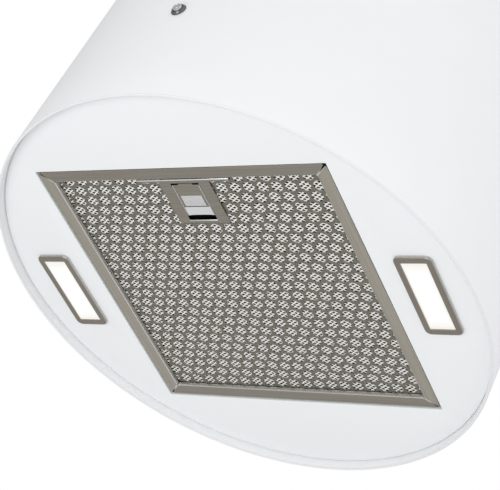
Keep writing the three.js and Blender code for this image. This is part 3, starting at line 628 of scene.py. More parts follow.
# %% [markdown]
# ## The tube
#
# A sheet is rolled into a tube and welded at the back. Its lower edge is folded inwards,
# so the rim is a smooth bead twice as thick as the wall. Turning a profile gives both,
# and a shallow groove at the back, cut by lowering the radius there, is the weld seam.


# %% Tube with folded rim and rear seam
HEM = 2.4 * MM


def tube_shell():
    """Radius and height run up the outside, over the top edge, down the inside and round the fold."""
    wall, hem_height = 1.2 * MM, 14 * MM
    top = tube_high[2]
    fold = HEM / 2
    outer = np.array([[TUBE_RADIUS, z] for z in np.linspace(RIM + fold, top - 0.3 * MM, 14)])
    edge = arc((TUBE_RADIUS - 0.3 * MM, top - 0.3 * MM), 0.3 * MM, 0, 90, 4)
    bore = TUBE_RADIUS - wall
    inner = np.array([[bore, top], [bore, RIM + hem_height + HEM], [TUBE_RADIUS - HEM, RIM + hem_height]])
    bead = arc((TUBE_RADIUS - fold, RIM + fold), fold, 180, 360, 13)
    profile = np.concatenate([outer, edge[1:], inner, bead[:-1]])
    seam = np.array([-0.9, -0.45, -0.2, 0, 0.2, 0.45, 0.9]) * MM / TUBE_RADIUS + np.pi / 2
    turns = np.sort(np.concatenate([full_turn(240), seam]))
    turns = turns[np.concatenate([[True], np.diff(turns) > 1e-5])]
    points, faces = turned(profile, turns)
    angle = np.arctan2(points[:, 1], points[:, 0])
    away = np.abs(angle - np.pi / 2) * TUBE_RADIUS
    seam_depth, seam_half = 0.25 * MM, 0.6 * MM
    dip = seam_depth * np.clip(1 - away / seam_half, 0, 1)
    on_outside = np.hypot(points[:, 0], points[:, 1]) > TUBE_RADIUS - 0.05 * MM
    shrink = 1 - dip * on_outside / TUBE_RADIUS
    points[:, :2] *= shrink[:, None]
    return finish_mesh("tube", [(points, faces)])


place(tube_shell(), "hood", "white_paint", POWDER_COAT, "tube_shell")

# %% [markdown]
# ## The glass underside
#
# One round sheet of 5 mm glass with a square opening and two lamp cut-outs. Cut glass
# has its edges ground, so each edge is rounded. The plate function does this for the
# outline and for every hole at once.


# %% Glass plate
GLASS_GAP = 0.25 * MM


def bottom_glass():
    low, high = glass_low[2], glass_high[2]
    can_low, can_high = span("lamp_can_left")
    half_x = (can_high[0] - can_low[0]) / 2 - 0.4 * MM
    half_y = FILTER_HALF * 0.285
    outer = circle(TUBE_RADIUS - HEM - GLASS_GAP, 300)
    holes = [rectangle(OPENING_HALF, OPENING_HALF, 0.8 * MM, 6)]
    for centre in LAMP_CENTRES.values():
        holes.append(rectangle(half_x, half_y, 2 * MM, 6, centre[:2]))
    return finish_mesh("glass_underside", plate(outer, holes, low, high, 0.7 * MM, 5), sharp=50)


place(bottom_glass(), "hood", "white_glass", PAINTED_GLASS, "bottom_glass")


def glass_seal():
    """A soft white bead that fills the narrow gap between the glass and the tube."""
    inner = TUBE_RADIUS - HEM - GLASS_GAP + 0.02 * MM
    width, low = GLASS_GAP - 0.04 * MM, glass_low[2] + 0.5 * MM
    profile = rectangle(width / 2, 1 * MM, 0.08 * MM, 3, (inner + width / 2, low + 1 * MM))
    return finish_mesh("glass_seal", [turned(profile, full_turn(240))])


place(glass_seal(), "hood", "white_plastic", WHITE_PLASTIC)

# %% [markdown]
# ## The grease filter's frame
#
# Four steel channels meet at 45 degrees. Each channel is a strip folded four times:
# a face, a rolled inner lip, an outer wall and a back flange. The cross-section is
# carried along the rail, and each end is cut back by as much as the point lies inwards,
# which makes the mitre.


# %% Mitred rails
RAIL_DEPTH = rail_high[2] - rail_low[2]


def rail_section(lean):
    """The folded strip's outline as inward distance and height, with every fold rounded.
    The inner lip leans inwards by lean over its depth, so that its flank catches the light."""
    t, lip, back = 0.8 * MM, 3.1 * MM, 8 * MM
    w, d = RAIL_WIDTH, RAIL_DEPTH
    corners = [
        (0, 0), (w, 0), (w + lean, lip), (w + lean - t, lip), (w - t, t),
        (t, t), (t, d - t), (back, d - t), (back, d), (0, d),
    ]
    radii = np.array([1.0, 0.9, 0.25, 0.25, 0.3, 0.3, 0.3, 0.25, 0.25, 0.9]) * MM
    section = rounded(corners, radii, 6)
    face = np.linspace(1.6 * MM, w - 1.2 * MM, 6)
    return np.insert(section, 6, np.stack([face, 0 * face], axis=1), axis=0)


def rail(turn, lean):
    """A rail on the -Y side, turned about Z. x runs from -(half - inward) to half - inward.
    The outer corner is cut off, and the inner lip ends a little before the mitre."""
    section = rail_section(lean)
    inward, height = section[:, 0], section[:, 1]
    corner_cut = 3.0 * MM
    notch = 0.6 * MM * np.clip((inward - RAIL_WIDTH) / MM + 0.4, 0, 1)
    limit = np.minimum(FILTER_HALF - inward, FILTER_HALF - corner_cut + inward) - notch - 0.02 * MM
    inner_steps = np.linspace(-1, 1, 9) * 0.97
    near = np.array([0.0, 0.2, 0.5, 0.8, 1.1]) * MM
    ends = near[:, None]
    x = np.concatenate([-limit + ends, inner_steps[:, None] * limit, (limit - ends)[::-1]])
    y = np.broadcast_to(-FILTER_HALF + inward, x.shape)
    z = np.broadcast_to(rail_low[2] + height, x.shape)
    return about_z(turn, x, y, z), capped_faces(*x.shape)


def fold_highlight(x, y, z):
    """The inner lip's flank and the last millimetre before each mitre, where a highlight is painted on."""
    inward = FILTER_HALF - np.maximum(np.abs(x), np.abs(y))
    to_mitre = np.abs(np.abs(x) - np.abs(y))
    lip = np.clip((inward - RAIL_WIDTH + 0.35 * MM) / (0.3 * MM), 0, 1)
    mitre = np.clip(1.5 - to_mitre / (0.7 * MM), 0, 1)
    return np.maximum(0.5 * lip, 0.9 * mitre * (z < rail_low[2] + 1.0 * MM))


RAILS = [("front", STEEL_X), ("right", SIDE_RAIL_STEEL_PAINTED_LIGHTER), ("rear", STEEL_X), ("left", SIDE_RAIL_STEEL_PAINTED_LIGHTER)]
for number, (side, steel) in enumerate(RAILS):
    lean = 0.0 if side == "front" else 1.0 * MM
    piece = finish_mesh(f"rail_{side}", [rail(number * math.pi / 2, lean)])
    # The stored mask marks where a highlight is painted on the rail.
    store_mask(piece, "painted_highlight", fold_highlight)
    place(piece, "filter", "filter_steel", steel, f"filter_rail_{side}")

# %% [markdown]
# ## The perforated sheets
#
# The face of the filter is punched with round holes in staggered rows. One hexagonal
# cell with a hole in its middle is worked out once, and copies of it tile the sheet.
# The edge of each hole is rounded over by the punch. Cells that cross the border are
# clipped to it, out of sight inside the rails.


# %% Hexagonal cells with punched holes
HOLE_PITCH = 11.35 * MM
HOLE_RADIUS = 4.72 * MM
ROW_SHIFT = -1.73 * MM
SHEET_METAL = 0.4 * MM


def cell_rings(low, high, sides):
    """Rings from a hexagon, over the punched edge and through the hole, to the hexagon on the back."""
    turn = full_turn(sides) + np.pi / sides
    border = hexagon(HOLE_PITCH / 2, turn)
    roll = 0.22 * MM
    radii = [border]
    heights = [low]
    for t in np.linspace(0, np.pi / 2, 4):
        radii.append(np.full(sides, HOLE_RADIUS + roll * (1 - np.sin(t))))
        heights.append(low + roll * (1 - np.cos(t)))
    radii += [np.full(sides, HOLE_RADIUS), border]
    heights += [high, high]
    rings = np.stack(radii)
    level = np.broadcast_to(np.array(heights)[:, None], rings.shape)
    return np.stack([rings * np.cos(turn), rings * np.sin(turn), level], axis=-1)


def push_out(points, owners, low, high):
    """Moves points inside a rectangle to the side that is nearest to the centre of their own cell."""
    inside = np.all((points[:, :2] > low) & (points[:, :2] < high), axis=1)
    distances = np.concatenate([(owners - low).T, (high - owners).T])
    nearest = np.argmin(distances, axis=0)
    for side, (axis, value) in enumerate([(0, low[0]), (1, low[1]), (0, high[0]), (1, high[1])]):
        points[inside & (nearest == side), axis] = value
    return points


def perforated(name, node, sides, window=None):
    """The cell repeated over staggered rows: even rows are shifted by half a pitch."""
    low, high = span(node)
    half = high[0]
    rings = cell_rings(low[2], low[2] + SHEET_METAL, sides)
    row_pitch = HOLE_PITCH * math.sqrt(3) / 2
    column, row = np.meshgrid(np.arange(-12, 13), np.arange(-12, 13))
    x = (column + 0.5 * ((row + 1) % 2)) * HOLE_PITCH
    y = row * row_pitch + ROW_SHIFT
    keep = (np.abs(x) < half + 0.4 * HOLE_PITCH) & (np.abs(y) < half + 0.4 * HOLE_PITCH)
    centres = np.stack([x[keep], y[keep]], axis=1)
    if window is not None:
        reach = HOLE_PITCH * 0.45
        inside = np.all((centres > window[0] + reach) & (centres < window[1] - reach), axis=1)
        centres = centres[~inside]
    cell = rings.reshape(-1, 3)
    points = np.tile(cell, (len(centres), 1, 1))
    points[:, :, :2] += centres[:, None, :]
    one = grid_faces(len(rings), sides, wrap_columns=True)
    faces = (one[None] + (np.arange(len(centres)) * len(cell))[:, None, None]).reshape(-1, 4)
    points = points.reshape(-1, 3)
    points[:, :2] = np.clip(points[:, :2], -half, half)
    if window is not None:
        points = push_out(points, np.repeat(centres, len(cell), axis=0), window[0], window[1])
    return finish_mesh(name, [(points, faces)], sharp=60, weld=0.004 * MM)


slider_low = span("latch_slider")[0]
latch_low, latch_high = span("latch_plate")
WINDOW_X = 12.0 * MM
WINDOW_FRONT = latch_low[1] + 6.2 * MM
WINDOW_LENGTH = 35.5 * MM
WINDOW_REAR = WINDOW_FRONT + WINDOW_LENGTH
margin = 1.3 * MM
window = np.array([[-WINDOW_X - margin, WINDOW_FRONT - margin], [WINDOW_X + margin, WINDOW_REAR + margin]])
sheet = perforated("filter_face", "filter_front_sheet", 30, window)
place(sheet, "filter", "filter_steel", SHEET_STEEL, "filter_front_sheet")
sheet = perforated("filter_back", "filter_back_sheet", 24)
place(sheet, "filter", "filter_steel", SHEET_STEEL, "filter_back_sheet")
print("sheet faces", len(sheet.data.polygons))

# %% [markdown]
# ## The expanded mesh
#
# Between the sheets lie layers of expanded aluminium: a sheet slit in rows and pulled
# apart, so every strand zigzags, touches its neighbours and twists as it goes. One
# strand is a three-sided section carried along a zigzag, and all strands are worked
# out together as one array.


# %% Zigzag strands
STRAND_PITCH = (5.04 * MM, 1.735 * MM)


def strands(z, low, high):
    """y = row pitch (row + half of a zigzag that flips on each row), with a bend at every half cell.
    Each strand leans like a roof slat and rises towards its upper bends. Its two ends are capped."""
    strand, thickness, lean = 1.26 * MM, 0.22 * MM, 0.16
    pitch_x, pitch_y = STRAND_PITCH
    i = np.arange(math.ceil(low[0] / pitch_x * 2), math.floor(high[0] / pitch_x * 2) + 1)
    row = np.arange(math.ceil(low[1] / pitch_y), math.floor(high[1] / pitch_y) + 1)[:, None]
    zigzag = np.where((row + i) % 2 == 0, 1.0, -1.0) * 0.92
    x = np.broadcast_to(i / 2 * pitch_x, zigzag.shape)
    y = (row + 0.5 * zigzag) * pitch_y
    lift = 0.3 * thickness * zigzag
    section = np.array([(-1.0, -0.35), (1.0, -0.35), (0.0, 1.0)])
    across, depth = section[:, 0] * strand / 2, section[:, 1] * thickness
    offset_y = across * math.cos(lean) - depth * math.sin(lean)
    offset_z = across * math.sin(lean) + depth * math.cos(lean)
    along = np.broadcast_to(x[..., None], zigzag.shape + (3,))
    points = np.stack([along, y[..., None] + offset_y, z + lift[..., None] + offset_z], axis=-1)
    bends, rows = len(i), len(row)
    one = grid_faces(bends, 3, wrap_columns=True)
    starts = np.arange(rows) * bends * 3
    faces = (one[None] + starts[:, None, None]).reshape(-1, 4).tolist()
    for first in (starts, starts + (bends - 1) * 3):
        faces += np.stack([first, first + 1, first + 2], axis=1).tolist()
    return points.reshape(-1, 3), faces


def mesh_layers():
    """One layer in two pieces: the rear one, and a front one that leaves the latch's case free."""
    z = sheet_low[2] + SHEET_METAL + 0.27 * MM
    half = sheet_high[0] - 1.5 * MM
    case_half, case_rear = span("latch_case")[1][0] - 0.4 * MM, latch_high[1]
    rear = finish_mesh("mesh_rear", [strands(z, (-half, case_rear), (half, half))], sharp=50, weld=0)
    sides = [
        strands(z, (-half, -half), (-case_half, case_rear)),
        strands(z, (case_half, -half), (half, case_rear)),
    ]
    return rear, finish_mesh("mesh_front", sides, sharp=50, weld=0)


for layer in mesh_layers():
    place(layer, "filter", "mesh_aluminium", BRIGHT_MESH)
    print(layer.name, "faces", len(layer.data.polygons))
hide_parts("filter_mesh")

# %% [markdown]
# ## The latch
#
# A T-shaped plate is fixed over the sheet. A slider in its window carries a light,
# dotted thumb panel and a chromed scoop. Pulling the scoop back draws the tongue out of
# the frame and the filter drops. The plate function makes the T and the slider frame.


# %% Latch plate
ROLL_Y = latch_low[1] + 2.7 * MM
PLATE_LOW = latch_low[2] + 0.7 * MM


def latch_plate():
    plate_half, bar_half = 21.5 * MM, latch_high[0]
    front, rear = ROLL_Y, latch_high[1]
    bar_rear = latch_low[1] + 5 * MM
    corners = [
        (-bar_half, front), (bar_half, front), (bar_half, bar_rear), (plate_half, bar_rear),
        (plate_half, rear), (-plate_half, rear), (-plate_half, bar_rear), (-bar_half, bar_rear),
    ]
    outline = rounded(corners, np.array([0.5, 0.5, 0.5, 0.8, 1.2, 1.2, 0.8, 0.5]) * MM, 5)
    hole = rectangle(WINDOW_X, WINDOW_LENGTH / 2, 0.6 * MM, 5, (0, WINDOW_FRONT + WINDOW_LENGTH / 2))
    return finish_mesh("latch_face", plate(outline, [hole], PLATE_LOW, latch_high[2], 0.22 * MM))


def latch_roll(name, half, radius, y):
    """A polished roll along an edge of the plate, whose ends close in a few shrinking rings."""
    bead = circle(radius, 20)
    shares = np.array([-1, -0.996, -0.985, 0.985, 0.996, 1])
    shrink = np.array([0.3, 0.8, 1, 1, 0.8, 0.3])
    rings = bead[None] * shrink[:, None, None] + np.array([y, PLATE_LOW + 0.1 * MM])
    x = np.broadcast_to((shares * half)[:, None, None], rings.shape[:2] + (1,))
    points = np.concatenate([x, rings], axis=2).reshape(-1, 3)
    return finish_mesh(name, [(points, capped_faces(len(shares), len(bead)))])


place(latch_plate(), "filter", "filter_steel", STEEL_X, "latch_plate")
for roll in (
    latch_roll("latch_roll", latch_high[0], 0.75 * MM, ROLL_Y),
    latch_roll("window_roll", WINDOW_X, 0.45 * MM, WINDOW_REAR + 0.4 * MM),
):
    place(roll, "filter", "filter_steel", SATIN_CHROME)


# %% Slider frame, thumb panel and scoop
SLIDER_LOW = slider_low[2]
SLIDER_HALF = 11.7 * MM
SLIDER_FRONT = WINDOW_FRONT + 1.9 * MM
SLIDER_REAR = WINDOW_REAR - 4.15 * MM
SCOOP_FRONT = SLIDER_REAR - 8.7 * MM


def slider_frame():
    """The slider's outline has a raised nose at the front, and an opening for the scoop at the back."""
    nose, step = 6 * MM, 1.2 * MM
    arm = SLIDER_HALF - 0.6 * MM
    right = [
        (nose, SLIDER_FRONT - step), (nose, SLIDER_FRONT), (SLIDER_HALF, SLIDER_FRONT),
        (SLIDER_HALF, SLIDER_REAR), (arm, SLIDER_REAR), (arm, SCOOP_FRONT),
    ]
    corners = right + [(-x, y) for x, y in right[::-1]]
    parts = plate(rounded(corners, 0.25 * MM, 4), [], SLIDER_LOW, SLIDER_LOW + 1.3 * MM, 0.18 * MM)
    tongue_front = slider_low[1]
    tongue_half = (SLIDER_FRONT + 6 * MM - tongue_front) / 2
    tongue = rectangle(5.5 * MM, tongue_half, 0.8 * MM, 5, (0, tongue_front + tongue_half))
    parts += plate(tongue, [], SLIDER_LOW + 1.8 * MM, SLIDER_LOW + 3.1 * MM, 0.2 * MM)
    return finish_mesh("latch_slider_frame", parts)


def slider_trim():
    """A narrow raised bead along the slider's two sides."""
    parts = []
    half_y = (SLIDER_REAR - SLIDER_FRONT) / 2 - 0.3 * MM
    x, y = SLIDER_HALF - 0.35 * MM, (SLIDER_REAR + SLIDER_FRONT) / 2
    for sign in (-1, 1):
        bead = rectangle(0.24 * MM, half_y, 0.2 * MM, 4, (sign * x, y))
        parts += plate(bead, [], SLIDER_LOW - 0.3 * MM, SLIDER_LOW + 0.1 * MM, 0.15 * MM)
    return finish_mesh("latch_slider_trim", parts)


def thumb_panel():
    outline = rectangle(8.9 * MM, 5 * MM, 0.4 * MM, 5, (0, SCOOP_FRONT - 5.6 * MM))
    panel = plate(outline, [], SLIDER_LOW - 0.2 * MM, SLIDER_LOW + 0.3 * MM, 0.12 * MM)
    return finish_mesh("latch_thumb_panel", panel)


def scoop():
    """A trough that is shallow in front and steep at the back:
    depth = deepest share^2 (1 - side^4), where share runs from front to back and side from -1 to 1."""
    across = np.linspace(-1, 1, 31)
    back = np.linspace(0, 1, 21)
    share, side = np.meshgrid(back, across, indexing="ij")
    deepest = 0.6 * MM
    x = side * 10.9 * MM
    y = SCOOP_FRONT + 0.4 * MM + share * (SLIDER_REAR - SCOOP_FRONT - 0.4 * MM)
    z = SLIDER_LOW + 0.05 * MM + deepest * share ** 2 * (1 - side ** 4)
    inner = np.stack([x, y, z], axis=-1).reshape(-1, 3)
    outer = inner + [0, 0, 0.35 * MM]
    rows, columns = len(back), len(across)
    faces = grid_faces(rows, columns).tolist()
    lifted = [[i + rows * columns for i in face[::-1]] for face in faces]
    border = np.concatenate([
        np.arange(columns), np.arange(1, rows) * columns + columns - 1,
        (rows - 1) * columns + np.arange(columns - 2, -1, -1), np.arange(rows - 2, 0, -1) * columns,
    ])
    after = np.roll(border, -1)
    walls = np.stack([border, after, after + rows * columns, border + rows * columns], axis=1).tolist()
    return finish_mesh("latch_scoop", [(np.concatenate([inner, outer]), faces + lifted + walls)])


def dotted_panel():
    """A light grey panel with rows of small raised dots: a cell pattern seen through a threshold."""
    material, tree, shader = new_material("dotted panel", 0.35)
    dots = add(tree, "TexVoronoi", Vector=coordinate(tree), Scale=1050.0, Randomness=0.0)
    mask = remap(tree, dots.outputs["Distance"], 0.25, 0.45, 1.0, 0.0)
    put(tree, shader["Base Color"], mixed(tree, mask, (0.38, 0.38, 0.37), (0.82, 0.82, 0.81)))
    put(tree, shader["Normal"], bump(tree, mask, 0.08 * MM))
    return material


place(slider_frame(), "slider", "polished_chrome", STEEL_X, "latch_slider")
place(slider_trim(), "slider", "polished_chrome", SATIN_CHROME)
place(thumb_panel(), "slider", "polished_chrome", dotted_panel())
place(scoop(), "slider", "polished_chrome", CHROME)

# %% [markdown]
# ## Lamps
#
# Each lamp sits in a raised steel bezel: a round-cornered outside and a sharp-cornered
# window for the lit diffuser. Both outlines have the same number of points, so rings
# between them loft one into the other over a rounded shoulder.


# %% Bezels and diffusers
def lamp_bezel(side):
    """Rings run from the glass up the flank, over the shoulder, across the face and into the window.
    Each ring is (1 - share) of the outer outline plus share of the window's outline."""
    low, high = span(f"lamp_bezel_{side}")
    centre = (low[:2] + high[:2]) / 2
    lens_low, lens_high = span(f"lamp_lens_{side}")
    window_half = (lens_high[:2] - lens_low[:2]) / 2 + 0.15 * MM
    size = (high[:2] - low[:2]) / 2
    outer = rectangle(size[0], size[1], 5 * MM, 12)
    pane = rectangle(window_half[0], window_half[1], 0.5 * MM, 12)
    face = low[2]
    base = glass_low[2] - 0.1 * MM
    shares = [0.0, 0.0, 0.03, 0.09, 0.17, 0.28, 0.9, 0.96, 1.0, 1.0, 1.0]
    rises = np.array([0, 1.1, 1.75, 2.15, 2.35, 2.4, 2.4, 2.3, 2.05, 0.9, -3.0]) * MM
    heights = base - rises * (base - face) / rises.max()
    rings = [(1 - s) * outer + s * pane + centre for s in shares]
    back = (rings[0] + rings[-1]) / 2
    points, faces = lofted(rings + [back], list(heights) + [base + 3 * MM])
    closing = grid_faces(2, len(outer), wrap_columns=True)
    count = len(outer)
    last = len(rings) * count
    closing = np.where(closing < count, closing + last, closing - count)
    return finish_mesh(f"lamp_surround_{side}", [(points, np.concatenate([faces, closing]))])


def lamp_lens(side):
    """A thin diffuser whose face bows out by a fraction of a millimetre."""
    low, high = span(f"lamp_lens_{side}")
    centre, half = (low + high) / 2, (high - low) / 2
    outlines, heights = [], []
    for share, drop in [(1.0, 1.2), (1.0, 0.35), (0.97, 0.1), (0.9, 0.0), (0.6, -0.08), (0.2, -0.12)]:
        inset = (1 - share) * half[0]
        outlines.append(rectangle(half[0] - inset, half[1] - inset, 0.4 * MM * share, 6, centre[:2]))
        heights.append(low[2] + 0.2 * MM + drop * MM)
    return finish_mesh(f"lamp_diffuser_{side}", [lofted(outlines, heights, (True, True))])


for side in ("left", "right"):
    place(lamp_bezel(side), "hood", "lamp_steel", BEZEL_STEEL, f"lamp_bezel_{side}")
    place(lamp_lens(side), "hood", "lamp_diffuser", DIFFUSER, f"lamp_lens_{side}")

# %% [markdown]
# ## The push button and the fixing screws
#
# Both are small lathe-turned parts. The button is a dished metal cap inside a stepped
# bezel, and the screws have a domed head with a hexagonal socket.


# %% Button
button_low, button_high = span("button_bezel")
BUTTON_Z = (button_low[2] + button_high[2]) / 2


def button_bezel():
    """Radius against depth into the tube, from the bore out over the flank and back."""
    bore, outer, barrel = 3.9, 5.8, 4.7
    profile = np.array([
        (bore, 10), (bore, -1.9), (bore + 0.15, -2.1), (bore + 0.35, -2.2), (outer - 1.5, -2.2),
        (outer - 1.2, -2.1), (outer - 0.35, -0.95), (outer - 0.05, -0.7), (outer, -0.5),
        (outer, -0.1), (barrel, -0.1), (barrel, 10),
    ]) * MM
    ring = turned(profile, full_turn(64), "y", (0, -TUBE_RADIUS, BUTTON_Z))
    return finish_mesh("button_surround", [ring], sharp=30)


def button_cap():
    """A cap with a rounded shoulder, a fine ring groove and a shallow dish in its face."""
    profile = np.array([
        (0, 6), (3.55, 6), (3.55, -2.8), (3.4, -3.25), (3.05, -3.55), (2.7, -3.6), (2.45, -3.6),
        (2.35, -3.4), (2.2, -3.4), (2.1, -3.58), (1.4, -3.42), (0.7, -3.34), (0, -3.32),
    ]) * MM
    cap = turned(profile, full_turn(64), "y", (0, -TUBE_RADIUS, BUTTON_Z), closed=False)
    return finish_mesh("button_face", [cap], sharp=30)


place(button_bezel(), "hood", "polished_chrome", BUTTON_RING, "button_bezel")
place(button_cap(), "push_button", "polished_chrome", BUTTON_STEEL, "button_cap")


# %% Fixing screws
def screw(number):
    """A domed head on a short shank, whose last rings are a hexagonal socket."""
    low, high = span(f"shell_screw_{number}")
    dome = arc((0, -4.16), 6.06, 48.7, 75, 7)
    profile = np.concatenate([[(0, -5), (2.2, -5), (2.2, 0.1), (3.9, 0.1), (4.0, 0.25)], dome])
    apothem, depth = 1.35, 1.2
    turns = full_turn(36)
    socket = hexagon(apothem, turns)
    rounds = [np.full(len(turns), radius) for radius in profile[:, 0]]
    radii = np.stack(rounds + [socket, socket, 0 * socket])
    top = profile[-1, 1]
    heights = np.concatenate([profile[:, 1], [top, top - depth, top - depth - 0.1]])[:, None]
    x = TUBE_RADIUS + np.broadcast_to(heights, radii.shape) * MM
    y, z = radii * np.cos(turns) * MM, radii * np.sin(turns) * MM
    points = about_z(math.radians(90 * number - 45), x, y, (low[2] + high[2]) / 2 + z)
    return finish_mesh(f"screw_{number}", [(points, grid_faces(*radii.shape, wrap_columns=True))], sharp=40)


for number in (1, 2, 3, 4):
    place(screw(number), "hood", "polished_chrome", CHROME, f"shell_screw_{number}")

# %% [markdown]
# ## Ceiling plate, duct collar and damper flaps
#
# Seen from above, the hood shows the plate that is screwed to the ceiling and, through
# its hole, the outlet collar with its two damper flaps.


# %% Ceiling plate
def ceiling_plate():
    low, high = span("ceiling_plate")
    radius, thickness = high[0], 2 * MM
    anchor_radius, anchor_circle, duct_radius = 4 * MM, 135 * MM, 88 * MM
    anchors = [circle(anchor_radius, 24, centre) for centre in circle(anchor_circle, 4)]
    holes = [circle(duct_radius, 120)] + anchors
    disc = plate(circle(radius - 1.9 * MM, 240), holes, high[2] - thickness, high[2], 0.3 * MM)
    bend = arc((radius - 2 * MM, high[2] - 2 * MM), 2 * MM, 90, 0, 8)
    inner = radius - thickness
    skirt = np.concatenate([bend, [[radius, low[2]], [inner, low[2]], [inner, high[2] - thickness]]])
    return finish_mesh("ceiling_disc", disc + [turned(skirt, full_turn(240))])


place(ceiling_plate(), "hood", "zinc_steel", ZINC, "ceiling_plate")


# %% Duct collar
def duct_collar():
    """A moulded collar: flange, tube with a snap bead, chamfered mouth and an inner stop."""
    low = span("duct_collar")[0]
    outer, inner, flange = 75, 73.5, 89
    profile = np.array([
        (inner, 0), (flange - 0.5, 0), (flange, 0.4), (flange, 1.2), (flange - 0.4, 1.5),
        (outer + 1.5, 1.5), (outer + 0.4, 1.9), (outer, 3), (outer, 60), (outer + 0.8, 61),
        (outer + 0.8, 62), (outer, 63), (outer, 84.5), (outer - 0.6, 86), (inner, 86),
        (inner, 13.1), (inner - 4, 13.1), (inner - 4, 11.9), (inner, 11.9),
    ]) * MM + (0, low[2])
    return finish_mesh("outlet_collar", [turned(profile, full_turn(160))], sharp=30)


place(duct_collar(), "hood", "black_plastic", BLACK_PLASTIC, "duct_collar")


# %% Damper flaps
def damper_flap(side, sign):
    """A half disc with a pressed rib, and a sleeve where it turns on the pin."""
    low, high = span(f"damper_flap_{side}")
    z = (low[2] + high[2]) / 2
    radius = high[0]
    start = math.degrees(math.asin(5 * MM / radius))
    edge = arc((0, 0), radius, start, 180 - start, 90)
    rib = rectangle(38 * MM, 1.6 * MM, 1.5 * MM, 6, (0, 30 * MM))
    parts = plate(edge, [], z - 0.6 * MM, z + 0.6 * MM, 0.25 * MM)
    parts += plate(rib, [], z + 0.5 * MM, z + 1.3 * MM, 0.35 * MM)
    bore, outside, length = 2.3, 3.9, 14
    for x in (-50, 18):
        sleeve = np.array([(bore, x), (outside, x), (outside, x + length), (bore, x + length)]) * MM
        parts.append(turned(sleeve, full_turn(32), "x", (0, 0, z)))
        ear = rectangle(7 * MM, 2.2 * MM, 0.3 * MM, 3, ((x + length / 2) * MM, 4.6 * MM))
        parts += plate(ear, [], z - 0.6 * MM, z + 0.6 * MM, 0.2 * MM)
    parts = [(points * [sign, sign, 1], faces) for points, faces in parts]
    return finish_mesh(f"damper_{side}_leaf", parts)


place(damper_flap("rear", 1), "damper_rear", "flap_aluminium", FLAP_METAL, "damper_flap_rear")
place(damper_flap("front", -1), "damper_front", "flap_aluminium", FLAP_METAL, "damper_flap_front")

# %% [markdown]
# ## Finishes for the parts that keep their shape
#
# The frame, the blower and the wiring boxes already have their right shape in the
# imported model. They only need the finish of the slot that each belongs to. The latch's
# inner parts instead get near-black steel, a painted shade for the cavity behind the slider.


# %% Finishes by slot
FINISHES = {
    "white_paint": POWDER_COAT,
    "white_glass": PAINTED_GLASS,
    "filter_steel": STEEL_X,
    "mesh_aluminium": BRIGHT_MESH,
    "lamp_steel": BEZEL_STEEL,
    "polished_chrome": CHROME,
    "zinc_steel": ZINC,
    "flap_aluminium": FLAP_METAL,
    "lamp_diffuser": DIFFUSER,
    "grey_plastic": GREY_PLASTIC,
    "black_plastic": BLACK_PLASTIC,
    "white_plastic": WHITE_PLASTIC,
    "circuit_board": BOARD,
}

for entry in frame["record"]["subparts"]:
    materials = frame["nodes"][entry["node"]].data.materials
    materials.clear()
    # Painted shade: the latch's inner parts get near-black steel in place of their slot's finish.
    inner_latch = entry["node"].startswith("latch_")
    materials.append(LATCH_SHADE_STEEL if inner_latch else FINISHES[entry["material_slot"]])

# %% [markdown]
# ## Floor, light and camera
#
# A pale floor lies where a kitchen floor would be, far below the hood. The sky is plain
# white, and two broad soft lamps stand below the hood, because the underside is what is
# looked at. The camera looks up from the front right, and is rolled a little.


# %% Floor and soft light
def pale_floor():
    material, tree, shader = new_material("pale floor", 0.7)
    patches = use_group(tree, SMUDGES, Scale=1.5)["Patches"]
    put(tree, shader["Base Color"], mixed(tree, patches, (0.87, 0.87, 0.87), (0.89, 0.89, 0.89)))
    return material


FLOOR_DROP = 1.6
half, height = 14.0, RIM - FLOOR_DROP
corners = np.array([(a * half, b * half, height) for a, b in ((-1, -1), (1, -1), (1, 1), (-1, 1))])
floor = finish_mesh("floor", [(corners, [[0, 1, 2, 3]])], recalculate=False)
floor.data.materials.append(pale_floor())


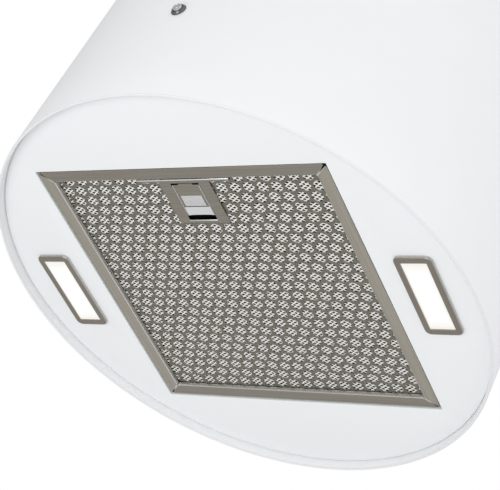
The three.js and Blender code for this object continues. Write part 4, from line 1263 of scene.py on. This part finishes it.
def soft_light(name, spot, target, width, power):
    """A square area lamp that faces a target and is not seen itself."""
    lamp = bpy.data.lights.new(name, "AREA")
    lamp.shape = "SQUARE"
    lamp.size = width
    lamp.energy = power
    lamp_object = bpy.data.objects.new(name, lamp)
    lamp_object.location = spot
    lamp_object.rotation_euler = (Vector(target) - Vector(spot)).to_track_quat("-Z", "Y").to_euler()
    lamp_object.visible_camera = False
    bpy.context.scene.collection.objects.link(lamp_object)


middle = (0, 0, RIM)
soft_light("key", (0.2, -0.95, RIM - 1.45), middle, 1.6, 19)
soft_light("fill", (1.6, 1.0, RIM - 1.2), middle, 1.6, 2)


def white_world():
    """White where the camera looks past the hood. What lights the hood grows from left to right."""
    world = bpy.data.worlds.new("white room")
    bpy.context.scene.world = world
    world.use_nodes = True
    tree = world.node_tree
    tree.nodes.clear()
    growing = remap(tree, coordinate(tree, "X", "Generated"), -1, 1, 0.55, 1.04)
    lighting = add(tree, "Background", Color=(0.98, 0.99, 1.0, 1), Strength=growing)
    seen = add(tree, "Background", Color=(1, 1, 1, 1), Strength=1.0)
    path, mix = tree.nodes.new("ShaderNodeLightPath"), tree.nodes.new("ShaderNodeMixShader")
    put(tree, mix.inputs[0], path.outputs["Is Camera Ray"])
    put(tree, mix.inputs[1], lighting.outputs[0])
    put(tree, mix.inputs[2], seen.outputs[0])
    add(tree, "OutputWorld", Surface=mix.outputs[0])


white_world()
bpy.context.scene.view_settings.view_transform = "Standard"


# %% Camera
def make_camera(spot, target, roll, lens):
    """A camera that faces a target and is then rolled about its own line of sight."""
    data = bpy.data.cameras.new("camera")
    data.lens = lens
    data.sensor_width = 36
    data.clip_end = 60
    camera = bpy.data.objects.new("camera", data)
    facing = (Vector(target) - Vector(spot)).to_track_quat("-Z", "Y")
    camera.matrix_world = Matrix.LocRotScale(Vector(spot), facing, None) @ Matrix.Rotation(roll, 4, "Z")
    bpy.context.scene.collection.objects.link(camera)
    bpy.context.scene.camera = camera


camera_place = (0.6848, -0.7617, RIM - 0.7213)
camera_target = (0.0088, -0.0244, RIM + 0.0328)
camera_roll, camera_lens = math.radians(28.81), 122.0
make_camera(camera_place, camera_target, camera_roll, camera_lens)
